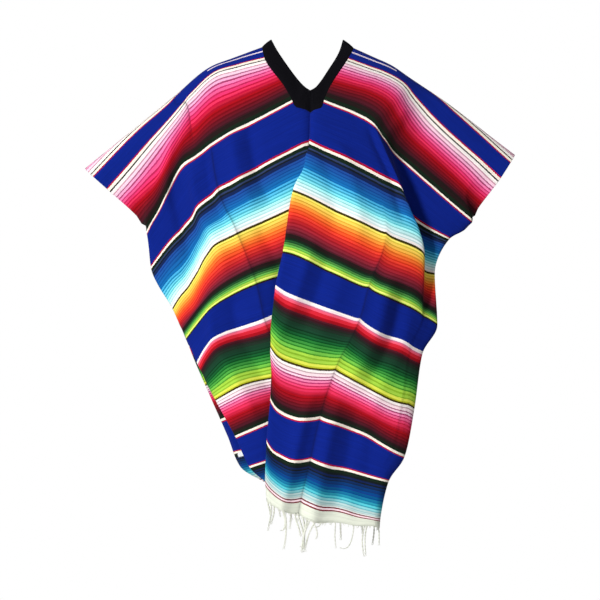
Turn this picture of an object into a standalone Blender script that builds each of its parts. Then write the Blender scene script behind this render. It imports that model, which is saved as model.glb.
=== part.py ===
"""A striped serape poncho, hollow and filled out as it hangs on a wearer with the arms held out and down.

Metres, +Z up, the front faces -Y. The origin is where the shoulders carry the cloth, midway between
the two ends of the neck opening. One woven cloth has a row of sections across it, each along one
weft thread; the front and the back part meet along the ridge of the shoulders and the arms.
"""

import bmesh
import bpy
import numpy as np

CM = 0.01
WALL = 0.002                 # thickness of the woven cloth
SEAM = 0.0003                # gap between pieces that are sewn together
RIDGE = -2.4                 # cloth distance of the ridge from the middle of the shoulder stripe, cm
NECK_FOOT = 18.1             # cloth distance of the foot of the neck opening, cm
FRONT_HEM = 104.8            # cloth distance at which the front part ends, cm
BACK_HEM = 101.0             # cloth distance at which the back part ends, cm
ARM_FORWARD = 0.16           # how far the sleeves swing forward, per square metre of width
RIDGE_TURN = 1.2             # level stretch of cloth on each side of the ridge, cm
BODY_HALF_WIDTH = 16.0       # the depth is the body's as far as this from the middle, cm
SLEEVE_START = 34.0          # and the sleeve's from here outwards, cm
BODY_ROUNDNESS = 0.16        # share of its depth that the body loses towards the sleeves
EDGE_RETURN = 2.2            # roundness of a side fold, cm
EDGE_SHARE = 0.4             # most of the hollow's depth that a side fold may take
SLEEVE_END = 4.5             # width of the strip along a sleeve's end that curls back, cm
SLEEVE_CURL = 0.26           # how far it curls back, per cm of cloth
PLEAT_TURN = 0.9             # roundness of the middle pleat's folds, cm
LEAST_LAP = 1.0              # the pleat folds over itself where it laps by more than this, cm
FOLD_UNDERCUT = 0.35         # how far the deep right fold runs back under its edge, per cm of drop
STRIP_PLACES = (0.95, 0.5, 0.0)     # of a turned-in strip: selvedge, middle and inner side of the fold
LEFT_STRIP = (0.84, 0.92, 1.0)      # depth of the turned-in strips at those places,
RIGHT_STRIP = (0.42, 0.66, 0.96)    # as a share of the fold's own inner side
OPENING_SHARES = (0.4, 0.75, 0.9, 0.97, 1.0)   # stations between a crease and the neck's edge
LEFT_LAYERS = (0.0, 0.1, 0.3, 0.7, 1.0)        # and how many layers out they lie on the left
RIGHT_LAYERS = (2.0, 1.9, 1.7, 1.3, 1.0)       # and on the right, where the pleat closes
BAND_SEAM = 0.0004           # gap between the neck band and the cloth's cut edge
BAND_THICKNESS = 0.0034      # of the ribbed knit, in the middle of the band
BAND_EDGE_THICKNESS = 0.0024
LABEL_WIDTH = 1.5            # cm
LABEL_HEIGHT = 1.4           # cm
LABEL_THICKNESS = 0.0006
LABEL_SEAM = 0.0005          # gap between the label and the cloth that it is sewn to
LABEL_PLACE = (0.5, 88.6)    # distance in from the side fold, and along the cloth, cm

STRAND_SPACING = 0.026       # of the fringe's strands along a hem
STRAND_WIDTH = 0.0034
STRAND_LENGTHS = (0.078, 0.060, 0.086, 0.052, 0.072, 0.094, 0.064)
STRAND_LEANS = (0.004, -0.007, 0.002, 0.008, -0.003, 0.006, -0.006, 0.001)
STRIP_HEIGHT = 0.006         # narrow strip that the fringe's roots are fused into

# The sections lie across the cloth, from the ridge down to the front hem.
# Left half of the front, one row for each section. Columns: cloth distance from the middle of the
# shoulder stripe, then across and height of the side outline, of the bend between sleeve and body,
# and of the pressed crease. All in cm.
LEFT_HALF = (
    (RIDGE, -52.4, -29.0, -31.5, -12.0, -22.3, -4.7),
    (2.1, -47.4, -33.7, -30.2, -14.6, -21.1, -6.3),
    (10.6, -40.4, -40.0, -29.1, -24.7, -22.7, -18.6),
    (14.1, -37.8, -43.4, -29.0, -28.0, -22.8, -23.5),
    (16.2, -37.5, -45.2, -28.8, -30.1, -22.5, -25.5),
    (NECK_FOOT, -37.3, -46.8, -28.4, -32.2, -22.3, -27.0),
    (24.2, -36.7, -52.2, -27.0, -39.5, -20.9, -33.8),
    (35.7, -31.7, -61.6, -25.2, -50.5, -16.6, -44.2),
    (49.6, -28.4, -69.1, -21.6, -61.2, -12.0, -56.4),
    (57.8, -25.9, -75.2, -22.4, -69.8, -10.1, -64.8),
    (71.0, -21.6, -83.4, -15.6, -80.2, -4.0, -77.1),
    (82.3, -16.9, -92.1, -10.9, -89.5, -0.5, -85.1),
    (92.1, -13.6, -99.2, -8.7, -97.5, 1.8, -92.8),
    (101.1, -8.0, -104.6, -3.0, -103.2, 5.7, -99.6),
    (104.8, -6.8, -107.9, -1.6, -106.6, 6.8, -103.2),
)

# Middle of the front. Columns: cloth distance, across and height of the hidden inner fold, and of the
# outer fold that laps over it. Above the foot of the neck they are the neck's left and right edge.
MIDDLE = (
    (RIDGE, -10.8, -0.4, 10.7, -0.6),
    (2.1, -10.3, -3.0, 9.5, -3.0),
    (10.6, -5.6, -9.7, 5.2, -9.7),
    (14.1, -3.5, -13.0, 3.6, -13.0),
    (16.2, -2.1, -14.6, 2.8, -14.9),
    (NECK_FOOT, 0.4, -15.6, 0.4, -15.6),
    (24.2, -0.2, -23.2, -0.2, -22.8),
    (35.7, 0.9, -36.0, -3.5, -34.1),
    (49.6, 3.5, -51.2, -5.9, -48.9),
    (57.8, 3.9, -58.2, -7.6, -56.9),
    (71.0, 8.7, -71.6, -8.7, -70.7),
    (82.3, 12.2, -79.1, -8.9, -82.5),
    (92.1, 13.9, -87.2, -9.6, -92.8),
    (101.1, 16.5, -94.9, -9.9, -102.0),
    (104.8, 17.4, -98.0, -9.5, -107.6),
)

# Right half of the front. Columns: cloth distance, then across and height of the pressed crease, of
# the edge of the deep fold beside the sleeve, of the cloth that comes out from under that fold, and
# of the side outline.
RIGHT_HALF = (
    (RIDGE, 19.3, -4.5, 24.2, -7.8, 30.5, -12.0, 48.6, -25.8),
    (2.1, 18.1, -6.2, 23.0, -9.2, 27.7, -14.7, 45.4, -31.1),
    (10.6, 13.4, -12.2, 17.9, -15.0, 22.1, -21.2, 40.5, -38.1),
    (14.1, 10.3, -15.7, 15.5, -18.7, 20.0, -24.6, 38.4, -40.9),
    (16.2, 10.6, -17.9, 16.5, -21.2, 20.6, -27.0, 37.4, -42.2),
    (NECK_FOOT, 11.3, -19.7, 17.6, -23.9, 21.6, -29.6, 36.5, -43.2),
    (24.2, 15.7, -30.3, 22.3, -33.9, 24.2, -40.3, 33.1, -45.5),
    (35.7, 18.3, -44.4, 27.3, -49.9, 27.7, -53.1, 29.7, -53.6),
    (49.6, 14.1, -57.8, 26.6, -63.5, 28.0, -64.3, 30.3, -65.8),
    (57.8, 12.0, -64.9, 23.5, -70.5, 25.1, -71.6, 26.8, -72.4),
    (71.0, 6.3, -76.9, 21.6, -84.1, 23.3, -84.4, 24.9, -85.3),
    (82.3, 2.7, -88.2, 19.3, -95.1, 20.9, -95.9, 22.6, -96.6),
    (92.1, 0.5, -97.9, 15.7, -101.8, 17.2, -102.2, 18.8, -102.6),
    (101.1, -1.6, -106.7, 14.1, -110.5, 15.5, -110.9, 16.9, -111.2),
    (104.8, -2.3, -110.5, 14.1, -112.6, 15.3, -112.8, 16.7, -113.3),
)

# Depths. Columns: cloth distance, depth of the body and of the sleeve from the middle of the garment
# to the cloth, width of the side strip that is turned in, spacing of the layers in the middle pleat,
# and drop of the deep fold beside the right sleeve.
DEPTHS = (
    (RIDGE, 0.0, 0.0, 0.0, 0.0, 0.0),
    (2.1, 3.4, 3.2, 0.0, 0.0, 0.4),
    (10.6, 8.0, 4.8, 0.0, 0.0, 1.0),
    (14.1, 9.2, 5.0, 3.0, 0.0, 1.4),
    (16.2, 9.8, 5.0, 5.5, 0.0, 1.8),
    (NECK_FOOT, 10.2, 5.0, 7.5, 0.1, 2.2),
    (24.2, 11.3, 5.2, 11.5, 0.6, 3.8),
    (35.7, 12.4, 6.0, 12.5, 0.9, 3.4),
    (49.6, 13.2, 7.2, 14.0, 1.1, 0.6),
    (57.8, 13.6, 8.0, 16.0, 1.2, 0.3),
    (71.0, 14.0, 8.8, 17.0, 1.2, 0.2),
    (82.3, 14.3, 9.4, 17.5, 1.2, 0.1),
    (92.1, 14.5, 9.8, 17.5, 1.2, 0.0),
    (101.1, 14.6, 10.0, 17.5, 1.2, 0.0),
    (104.8, 14.6, 10.0, 17.5, 1.2, 0.0),
)

# Inner edge of the neck band. Columns: cloth distance of the section beside it, across and height of
# its left and of its right edge, and its depth. All in cm.
BAND_INNER = (
    (RIDGE, -8.6, 1.4, 8.2, 1.4, 0.0),
    (2.1, -7.5, -0.7, 7.4, -1.2, 2.2),
    (10.6, -3.5, -6.6, 4.2, -6.6, 5.9),
    (14.1, -1.9, -8.6, 2.7, -8.8, 7.0),
    (16.2, -0.7, -9.8, 1.6, -10.0, 7.7),
    (NECK_FOOT, 0.5, -10.6, 0.5, -10.6, 8.1),
)

# The back part hangs a little apart from the front's outline. Columns: cloth distance, and how far
# its left outline and its outer fold lie from the front's, across.
BACK_SHIFTS = (
    (RIDGE, 0.0, 0.0),
    (35.7, 0.0, 0.0),
    (57.8, -0.3, 2.0),
    (71.0, -1.0, 3.0),
    (82.3, -1.9, 3.6),
    (92.1, -2.3, 4.0),
    (FRONT_HEM, 1.5, 5.0),
)

# Grid of the solids: cloth distances of the rows, and how many spans lie between stations.
ROWS_ABOVE_FOOT = (RIDGE, RIDGE + 0.8, 0.2, 2.6, 6.4, 10.6, 12.3, 14.1, 16.2)
ROWS_BELOW_FOOT = (NECK_FOOT, 21.0, 24.2, 29.6, 35.7, 42.5, 49.6, 57.8, 64.2, 71.0, 76.5, 82.3,
                   87.3, 92.1, 98.6)
LEFT_SPANS = (1, 2, 2, 2, 3, 4, 4, 2, 2, 2)
RIGHT_SPANS = (2, 2, 2, 3, 4, 2, 2, 2, 2, 2, 2, 1)


def remove_everything():
    """Empties the scene, so the file can be run again."""
    for thing in list(bpy.data.objects):
        bpy.data.objects.remove(thing, do_unlink=True)


def material(name, colour, roughness):
    """A plain finish for one piece."""
    made = bpy.data.materials.new(name)
    made.use_nodes = True
    shader = made.node_tree.nodes["Principled BSDF"]
    shader.inputs["Base Color"].default_value = (*colour, 1.0)
    shader.inputs["Roughness"].default_value = roughness
    shader.inputs["Metallic"].default_value = 0.0
    return made


def add_object(name, mesh, finish):
    """Puts a mesh into the scene as one named piece."""
    mesh.materials.append(finish)
    piece = bpy.data.objects.new(name, mesh)
    bpy.context.scene.collection.objects.link(piece)
    return piece


def unit(vectors):
    """Vectors of length one."""
    return vectors / np.maximum(np.linalg.norm(vectors, axis=-1, keepdims=True), 1e-9)


def spline(knots, values, places, level_peaks):
    """A smooth curve through values at the knots, read at places.

    Each inner knot's slope is the weighted mean of the chords beside it, or with level_peaks their
    harmonic mean, and none where they turn back. Each span is the cubic with those slopes. Knots may
    differ from row to row: they are the last axis of both arrays.
    """
    step = np.diff(knots, axis=-1)
    chord = np.diff(values, axis=-1) / step
    before, after = chord[..., :-1], chord[..., 1:]
    slope = np.empty_like(values)
    if level_peaks:
        same_way = before * after > 0.0
        total = np.where(same_way, before + after, 1.0)
        slope[..., 1:-1] = np.where(same_way, 2.0 * before * after / total, 0.0)
    else:
        slope[..., 1:-1] = (before * step[..., 1:] + after * step[..., :-1]) / (
            step[..., 1:] + step[..., :-1])
    slope[..., 0] = chord[..., 0]
    slope[..., -1] = chord[..., -1]
    span, part = places
    h = np.take(step, span, axis=-1)
    low, high = np.take(values, span, axis=-1), np.take(values, span + 1, axis=-1)
    slope_low, slope_high = np.take(slope, span, axis=-1), np.take(slope, span + 1, axis=-1)
    return ((2 * part**3 - 3 * part**2 + 1) * low + (part**3 - 2 * part**2 + part) * h * slope_low
            + (3 * part**2 - 2 * part**3) * high + (part**3 - part**2) * h * slope_high)


def places_at(knots, wanted):
    """The span and the part of that span for each wanted place along the knots."""
    knots, wanted = np.asarray(knots), np.asarray(wanted)
    span = np.clip(np.searchsorted(knots, wanted, side="right") - 1, 0, len(knots) - 2)
    return span, (wanted - knots[span]) / (knots[span + 1] - knots[span])


def places_between(spans):
    """Even places with a count of spans between each pair of stations."""
    span = np.concatenate([np.full(count, k) for k, count in enumerate(spans)] + [[len(spans) - 1]])
    part = np.concatenate([np.arange(count) / count for count in spans] + [[1.0]])
    return span.astype(int), part


def body_form(across, body, sleeve):
    """Depth of a general figure under the cloth: the body's in the middle, the sleeve's outside."""
    across = abs(across)
    share = np.clip((across - BODY_HALF_WIDTH) / (SLEEVE_START - BODY_HALF_WIDTH), 0.0, 1.0)
    share = share * share * (3.0 - 2.0 * share)
    round_body = 1.0 - BODY_ROUNDNESS * min(across / SLEEVE_START, 1.0) ** 2
    return body * round_body * (1.0 - share) + sleeve * share


def stations(side):
    """The stations of every section, left and right half, as (across, depth, height) in cm."""
    left_rows, right_rows = [], []
    shift_places = [row[0] for row in BACK_SHIFTS]
    for left, middle, right, depth in zip(LEFT_HALF, MIDDLE, RIGHT_HALF, DEPTHS):
        cloth, body, sleeve, strip, layer, drop = depth
        outline, bend, crease = (np.array(left[k:k + 2]) for k in (1, 3, 5))
        inner, outer = (np.array(middle[k:k + 2]) for k in (1, 3))
        r_crease, r_fold, r_under, r_outline = (np.array(right[k:k + 2]) for k in (1, 3, 5, 7))
        if side > 0:
            outline[0] += np.interp(cloth, shift_places, [row[1] for row in BACK_SHIFTS])
            outer[0] += np.interp(cloth, shift_places, [row[2] for row in BACK_SHIFTS])

        def at(point, layers=0.0, sink=0.0):
            """A station at a point of the front view, so many layers out from the body's form."""
            form = body_form(point[0], body, sleeve)
            return np.array((point[0], form + layers * layer - sink, point[1]))

        def turned_in(edge, towards, layers, strip_depths):
            """Selvedge, middle and inner fold of the strip that is turned in at a side."""
            along = unit(towards - edge)
            if strip == 0.0:
                curl = SLEEVE_CURL * max(cloth - LEFT_HALF[1][0], 0.0)
                return [at(edge + along * SLEEVE_END * share, layers, curl * (1.0 - share))
                        for share in np.linspace(0.0, 1.0, 4)]
            form = at(edge, layers)[1]
            turn = min(EDGE_RETURN, EDGE_SHARE * form)
            points = []
            for far, deep in zip(STRIP_PLACES, strip_depths):
                point = edge + along * (0.3 * turn + strip * far)
                points.append(np.array((point[0], (form - turn) * deep, point[1])))
            return points + [at(edge, layers, 0.5 * turn)]

        lap = inner[0] - outer[0]
        if lap < LEAST_LAP:
            inward = [at(crease + (inner - crease) * share, layers)
                      for share, layers in zip(OPENING_SHARES, LEFT_LAYERS)]
            onward = [at(r_crease + (outer - r_crease) * share, layers)
                      for share, layers in zip(OPENING_SHARES, RIGHT_LAYERS)][::-1]
        else:
            turn = min(PLEAT_TURN, 0.2 * lap)
            row = (inner - outer) / lap
            centre = 0.5 * (inner + outer)
            left_turn = inner + unit(crease - inner) * turn
            right_turn = outer + unit(r_crease - outer) * turn
            inward = [at(0.5 * (crease + inner)), at(left_turn), at(inner, 0.5),
                      at(inner - row * turn, 1.0), at(centre, 1.0)]
            onward = [at(centre, 1.0), at(outer + row * turn, 1.0), at(outer, 1.5),
                      at(right_turn, 2.0), at(0.5 * (outer + r_crease), 2.0)]
        hidden = 0.5 * (r_fold + r_under) - np.array((FOLD_UNDERCUT * drop, 0.0))
        left_rows.append(turned_in(outline, bend, 0.0, LEFT_STRIP) + [at(bend), at(crease)] + inward)
        right_strip = turned_in(r_outline, r_under, 2.0, RIGHT_STRIP)
        right_rows.append(onward + [at(r_crease, 2.0), at(r_fold, 2.0, -0.5 * drop), at(hidden, 2.0),
                                    at(r_under, 2.0, 0.5 * drop)] + right_strip[::-1])
    level = np.array((0.0, RIDGE_TURN, -0.1 * RIDGE_TURN))
    for rows in (left_rows, right_rows):
        rows.insert(1, rows[0] + level)
    return np.array(left_rows), np.array(right_rows)


def half_cloth(rows, cloth_places, spans):
    """A grid of points over one half: splines down the stations, then across each section."""
    knots = np.array([RIDGE, RIDGE + RIDGE_TURN] + [row[0] for row in DEPTHS[1:]])
    down = spline(knots, np.moveaxis(rows, 0, -1), places_at(knots, cloth_places), True)
    down = np.moveaxis(down, -1, 0)
    chords = np.linalg.norm(np.diff(down, axis=1), axis=2)
    along = np.concatenate([np.zeros((len(down), 1)), np.cumsum(np.maximum(chords, 0.05), axis=1)], axis=1)
    across = [spline(along, down[:, :, axis], places_between(spans), axis == 1) for axis in range(3)]
    return np.stack(across, axis=-1)


def to_world(points, side):
    """From (across, depth, height) in cm to metres; side is -1 for the front and 1 for the back."""
    across, depth, height = (points[..., k] * CM for k in range(3))
    middle = -ARM_FORWARD * across**2
    gap = 0.5 * SEAM
    return np.stack([across, middle + side * (depth + gap), height], axis=-1)


def cloth_grids(side):
    """The left and the right grid of the front or the back, in metres."""
    hem = FRONT_HEM if side < 0 else BACK_HEM
    cloth = [place for place in ROWS_ABOVE_FOOT + ROWS_BELOW_FOOT if place < hem - 2.0] + [hem]
    left, right = stations(side)
    grids = (half_cloth(left, cloth, LEFT_SPANS), half_cloth(right, cloth, RIGHT_SPANS))
    return [to_world(grid, side) for grid in grids], cloth


def make_cloth(name, side, finish):
    """One part of the cloth: two grids that share the line below the neck, given a wall.

    It gives the hem and the two sides of the neck's cut edge, as points, normals and the direction
    in which the cloth reaches each edge.
    """
    (left, right), cloth = cloth_grids(side)
    foot = cloth.index(NECK_FOOT)
    made = bmesh.new()
    left_points = [[made.verts.new(point) for point in row] for row in left]
    right_points = [[made.verts.new(point) for point in row] for row in right]
    for k in range(foot, len(cloth)):
        made.verts.remove(right_points[k][0])
        right_points[k][0] = left_points[k][-1]
    for grid in (left_points, right_points):
        for upper, lower in zip(grid, grid[1:]):
            for a, b, c, d in zip(upper, upper[1:], lower[1:], lower):
                made.faces.new((a, d, c, b) if side < 0 else (a, b, c, d))
    made.normal_update()
    hem = edge_of(left_points[-1] + right_points[-1][1:], left_points[-2] + right_points[-2][1:])
    rows = range(foot + 1)
    neck_left = edge_of([left_points[k][-1] for k in rows], [left_points[k][-2] for k in rows])
    neck_right = edge_of([right_points[k][0] for k in rows], [right_points[k][1] for k in rows])
    mesh = bpy.data.meshes.new(name)
    made.to_mesh(mesh)
    made.free()
    mesh.shade_smooth()
    piece = add_object(name, mesh, finish)
    wall = piece.modifiers.new("wall", "SOLIDIFY")
    wall.thickness = WALL
    wall.offset = 0.0
    return hem, neck_left, neck_right


def edge_of(vertices, beside):
    """Points, normals and leaving directions of an edge, from its vertices and the ones beside them."""
    points = np.array([vertex.co[:] for vertex in vertices])
    normals = np.array([vertex.normal[:] for vertex in vertices])
    leaving = unit(points - np.array([vertex.co[:] for vertex in beside]))
    return points, normals, leaving


def band_inner_edge(side):
    """Left and right inner edge of the neck band at each row above the foot, in metres."""
    table = np.array(BAND_INNER)
    rows = np.array(ROWS_ABOVE_FOOT + (NECK_FOOT,))
    inner = spline(table[:, 0], table[:, 1:].T, places_at(table[:, 0], rows), True)
    return [to_world(np.stack([inner[k], inner[4], inner[k + 1]], axis=-1), side) for k in (0, 2)]


def make_neck_band(front, back, finish):
    """The ribbed knit band: a flat ring along the neck's cut edge, thicker in the middle of its width.

    The loop starts at the front foot, goes up the left side, down to the back foot and up the right.
    """
    stretches = []
    for side, column, stretch in ((-1, 0, slice(None, None, -1)), (1, 0, slice(1, None)),
                                  (1, 1, slice(-2, None, -1)), (-1, 1, slice(1, -1))):
        points, normals, _ = (front if side < 0 else back)[1 + column]
        inside = band_inner_edge(side)[column]
        stretches.append([values[stretch] for values in (points, normals, inside)])
    edge, normals, inside = (np.concatenate(parts) for parts in zip(*stretches))
    along = unit(np.roll(edge, -1, axis=0) - np.roll(edge, 1, axis=0))
    inward = unit(inside - edge)
    band_normals = unit(np.cross(along, inward))
    band_normals *= np.sign(np.sum(band_normals * normals, axis=1, keepdims=True))
    outside = edge + inward * BAND_SEAM
    middle = 0.5 * (outside + inside)
    ring = []
    for points, outward, thickness in ((outside, normals, WALL), (middle, band_normals, BAND_THICKNESS),
                                       (inside, band_normals, BAND_EDGE_THICKNESS)):
        ring.append(points + outward * 0.5 * thickness)
        ring.insert(0, points - outward * 0.5 * thickness)
    made = bmesh.new()
    loops = [[made.verts.new(point) for point in line] for line in ring]
    count = len(edge)
    for upper, lower in zip(loops, loops[1:] + loops[:1]):
        for k in range(count):
            after = (k + 1) % count
            made.faces.new((upper[k], upper[after], lower[after], lower[k]))
    finish_mesh("neck_band", made, finish)


def finish_mesh(name, made, finish):
    """Turns a closed bmesh into a smooth-shaded piece with its faces pointing out."""
    bmesh.ops.recalc_face_normals(made, faces=made.faces)
    mesh = bpy.data.meshes.new(name)
    made.to_mesh(mesh)
    made.free()
    mesh.shade_smooth()
    mesh.set_sharp_from_angle(angle=np.radians(50.0))
    return add_object(name, mesh, finish)


def strand_spans(distance):
    """Start and end of each strand's root along the hem, each inside one straight stretch of it."""
    spans = []
    wanted = 0.5 * STRAND_SPACING
    margin = 0.0008
    for start, end in zip(distance, distance[1:]):
        while wanted < end:
            low = max(wanted - 0.5 * STRAND_WIDTH, start + margin)
            if low + STRAND_WIDTH + margin < end:
                spans.append((low, low + STRAND_WIDTH))
            wanted += STRAND_SPACING
    return spans


def make_fringe(name, hem_edge, finish):
    """A narrow strip along the hem and the strands that are drawn out of its lower side."""
    hem, hem_normals, leaving = hem_edge
    distance = np.concatenate([[0.0], np.cumsum(np.linalg.norm(np.diff(hem, axis=0), axis=1))])
    roots = strand_spans(distance)
    stops = np.array(sorted(list(distance) + [place for span in roots for place in span]))
    points, down, normal = (
        np.stack([np.interp(stops, distance, values[:, k]) for k in range(3)], axis=-1)
        for values in (hem, leaving, hem_normals))
    along = unit(np.gradient(points, axis=0))
    top, bottom = points + down * SEAM, points + down * (SEAM + STRIP_HEIGHT)
    half = 0.5 * WALL
    rings = [top + normal * half, top - normal * half, bottom - normal * half, bottom + normal * half]
    made = bmesh.new()
    lines = [[made.verts.new(point) for point in line] for line in rings]
    root_starts = {int(np.searchsorted(stops, low)): k for k, (low, _) in enumerate(roots)}
    for k in range(len(stops) - 1):
        for side_of_strip in range(4):
            if side_of_strip == 2 and k in root_starts:
                continue
            first, second = lines[side_of_strip], lines[(side_of_strip + 1) % 4]
            made.faces.new((first[k], first[k + 1], second[k + 1], second[k]))
        if k in root_starts:
            root = [lines[2][k], lines[2][k + 1], lines[3][k + 1], lines[3][k]]
            grow_strand(made, root, root_starts[k], along[k])
    made.faces.new([line[0] for line in lines])
    made.faces.new([line[-1] for line in lines])
    finish_mesh(name, made, finish)


def grow_strand(made, root, number, sideways):
    """Draws one strand out of a four-sided root: it hangs straight down, leans and ends in a point."""
    length = STRAND_LENGTHS[number % len(STRAND_LENGTHS)]
    lean = STRAND_LEANS[number % len(STRAND_LEANS)]
    centre = np.mean([vertex.co[:] for vertex in root], axis=0)
    corners = [np.array(vertex.co[:]) - centre for vertex in root]
    ring = root
    for share, size in ((0.3, 0.9), (0.65, 0.8), (1.0, 0.45)):
        middle = centre + np.array((0.0, 0.0, -length * share)) + sideways * lean * share * share
        lower = [made.verts.new(middle + corner * size) for corner in corners]
        for k in range(4):
            after = (k + 1) % 4
            made.faces.new((ring[k], ring[after], lower[after], lower[k]))
        ring = lower
    made.faces.new(ring)


def make_label(finish):
    """A small blank label on the back part's turned-in side strip, made from the strip's points."""
    (left, _), cloth = cloth_grids(1)
    inset, place = LABEL_PLACE
    fold_column = LEFT_SPANS[0] + LEFT_SPANS[1]
    rows = []
    for distance in (place, place + 0.5 * LABEL_HEIGHT, place + LABEL_HEIGHT):
        at_row = [np.array([np.interp(distance, cloth, left[:, column, k]) for k in range(3)])
                  for column in (fold_column, fold_column - 1)]
        along = unit(at_row[1] - at_row[0])
        rows.append([at_row[0] + along * (inset + LABEL_WIDTH * share) * CM for share in (0.0, 0.5, 1.0)])
    rows = np.array(rows)
    normal = unit(np.cross(rows[0, 2] - rows[0, 0], rows[2, 0] - rows[0, 0]))
    normal = normal if normal[1] < 0.0 else -normal
    near = rows + normal * (0.5 * WALL + LABEL_SEAM)
    made = bmesh.new()
    sheets = [[[made.verts.new(point) for point in row] for row in layer]
              for layer in (near, near + normal * LABEL_THICKNESS)]
    for sheet in sheets:
        for upper, lower in zip(sheet, sheet[1:]):
            for k in range(2):
                made.faces.new((upper[k], upper[k + 1], lower[k + 1], lower[k]))
    rims = []
    for sheet in sheets:
        rims.append(sheet[0] + [sheet[1][2]] + sheet[2][::-1] + [sheet[1][0]])
    for k in range(8):
        after = (k + 1) % 8
        made.faces.new((rims[0][k], rims[0][after], rims[1][after], rims[1][k]))
    finish_mesh("label", made, finish)


def main():
    """Builds the garment."""
    remove_everything()
    cloth = material("striped_cloth", (0.02, 0.04, 0.35), 0.85)
    knit = material("black_knit", (0.012, 0.012, 0.013), 0.9)
    yarn = material("white_yarn", (0.82, 0.80, 0.74), 0.9)
    tape = material("white_tape", (0.85, 0.85, 0.84), 0.6)
    front = make_cloth("cloth_front", -1, cloth)
    back = make_cloth("cloth_back", 1, cloth)
    make_neck_band(front, back, knit)
    make_fringe("fringe_front", front[0], yarn)
    make_fringe("fringe_back", back[0], yarn)
    make_label(tape)


main()
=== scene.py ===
"""A striped serape poncho as it hangs when worn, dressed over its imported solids."""

import bpy
import numpy as np
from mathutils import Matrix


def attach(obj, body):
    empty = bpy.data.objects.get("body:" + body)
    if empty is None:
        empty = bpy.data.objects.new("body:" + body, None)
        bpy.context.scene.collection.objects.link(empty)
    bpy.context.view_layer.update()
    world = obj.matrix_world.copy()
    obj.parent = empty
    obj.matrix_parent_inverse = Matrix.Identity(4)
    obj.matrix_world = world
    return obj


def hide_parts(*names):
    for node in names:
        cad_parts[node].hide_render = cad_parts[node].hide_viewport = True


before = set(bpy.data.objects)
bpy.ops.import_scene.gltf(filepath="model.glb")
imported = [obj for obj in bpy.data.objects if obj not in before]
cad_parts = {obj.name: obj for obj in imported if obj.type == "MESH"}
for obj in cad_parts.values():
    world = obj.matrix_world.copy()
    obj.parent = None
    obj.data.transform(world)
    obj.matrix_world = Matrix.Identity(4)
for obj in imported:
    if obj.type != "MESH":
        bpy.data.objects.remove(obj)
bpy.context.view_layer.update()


# The cloth. One blanket width of weft-faced acrylic weave, worn folded over the shoulders with an
# opening cut for the neck. Each section lies along one weft thread, from the ridge of the shoulders
# down to a hem, and names the places where the cloth turns: side folds, pressed creases, pleat.
CM = 0.01
CLOTH_WALL = 0.0018  # in metres; what follows is in cm
RIDGE = -2.4  # cloth distance of the shoulder ridge from the middle of its stripe
NECK_FOOT = 18.1
FRONT_HEM = 104.8
BACK_HEM = 101.0
ARM_FORWARD = 0.16  # the sleeves' swing forward: this times the square of the metres across
RIDGE_TURN = 1.2  # length of cloth that bends over the ridge
RIDGE_DROP = 0.1  # share of it that the cloth drops there
BODY_HALF_WIDTH = 16.0  # across, where the body's depth starts to pass into the sleeve's
SLEEVE_START = 34.0  # and where it has
BODY_ROUNDNESS = 0.16
EDGE_RETURN = 2.2  # depth of the round turn at a side
EDGE_SHARE = 0.4  # and its most, as a share of the form's depth
STRIP_START = 0.3  # of the turned-in strip, in such turns from the side
STRIP_PLACES = (0.95, 0.5, 0.0)  # selvedge, middle and inner fold, in widths and in depths
STRIP_DEPTHS = {"left": (0.84, 0.92, 1.0), "right": (0.42, 0.66, 0.96)}
SLEEVE_CURL = 0.26
PLEAT_TURN = 0.9  # length of the pleat's round turns
PLEAT_TURN_SHARE = 0.2  # and its most, as a share of the lap
LEAST_LAP = 1.0
FOLD_UNDERCUT = 0.35
OPENING_SHARES = (0.4, 0.75, 0.9, 0.97, 1.0)  # from the crease to the edge, with the layers there
LEFT_LAYERS = (0.0, 0.1, 0.3, 0.7, 1.0)
RIGHT_LAYERS = (2.0, 1.9, 1.7, 1.3, 1.0)

# Left half of the front. Columns: cloth distance, then across and height of the side outline, of the
# bend between sleeve and body, and of the pressed crease.
LEFT_HALF = (
    (RIDGE, -52.4, -29.0, -31.5, -12.0, -22.3, -4.7),
    (2.1, -47.4, -33.7, -30.2, -14.6, -21.1, -5.9),
    (10.6, -40.4, -40.0, -29.1, -24.7, -22.7, -18.6),
    (13.2, -38.3, -42.3, -29.0, -27.2, -22.8, -22.4),
    (14.1, -37.8, -43.4, -29.0, -28.0, -22.8, -23.5),
    (16.2, -37.5, -45.2, -28.8, -30.1, -22.5, -25.5),
    (NECK_FOOT, -37.3, -46.8, -28.4, -32.2, -22.3, -27.0),
    (24.2, -36.7, -52.2, -27.0, -39.5, -20.9, -33.8),
    (35.7, -31.7, -61.6, -25.2, -50.5, -16.6, -44.2),
    (49.6, -28.4, -69.1, -21.6, -61.2, -12.0, -56.4),
    (57.8, -25.9, -75.2, -22.4, -69.8, -10.1, -64.8),
    (71.0, -21.6, -83.4, -15.6, -80.2, -4.0, -77.1),
    (82.3, -16.9, -92.1, -10.9, -89.5, -0.5, -85.1),
    (92.1, -13.6, -99.2, -8.7, -97.5, 1.8, -92.8),
    (101.1, -8.0, -104.6, -3.0, -103.2, 5.7, -99.6),
    (104.8, -6.8, -107.9, -1.6, -106.6, 6.8, -103.2),
)

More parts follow.
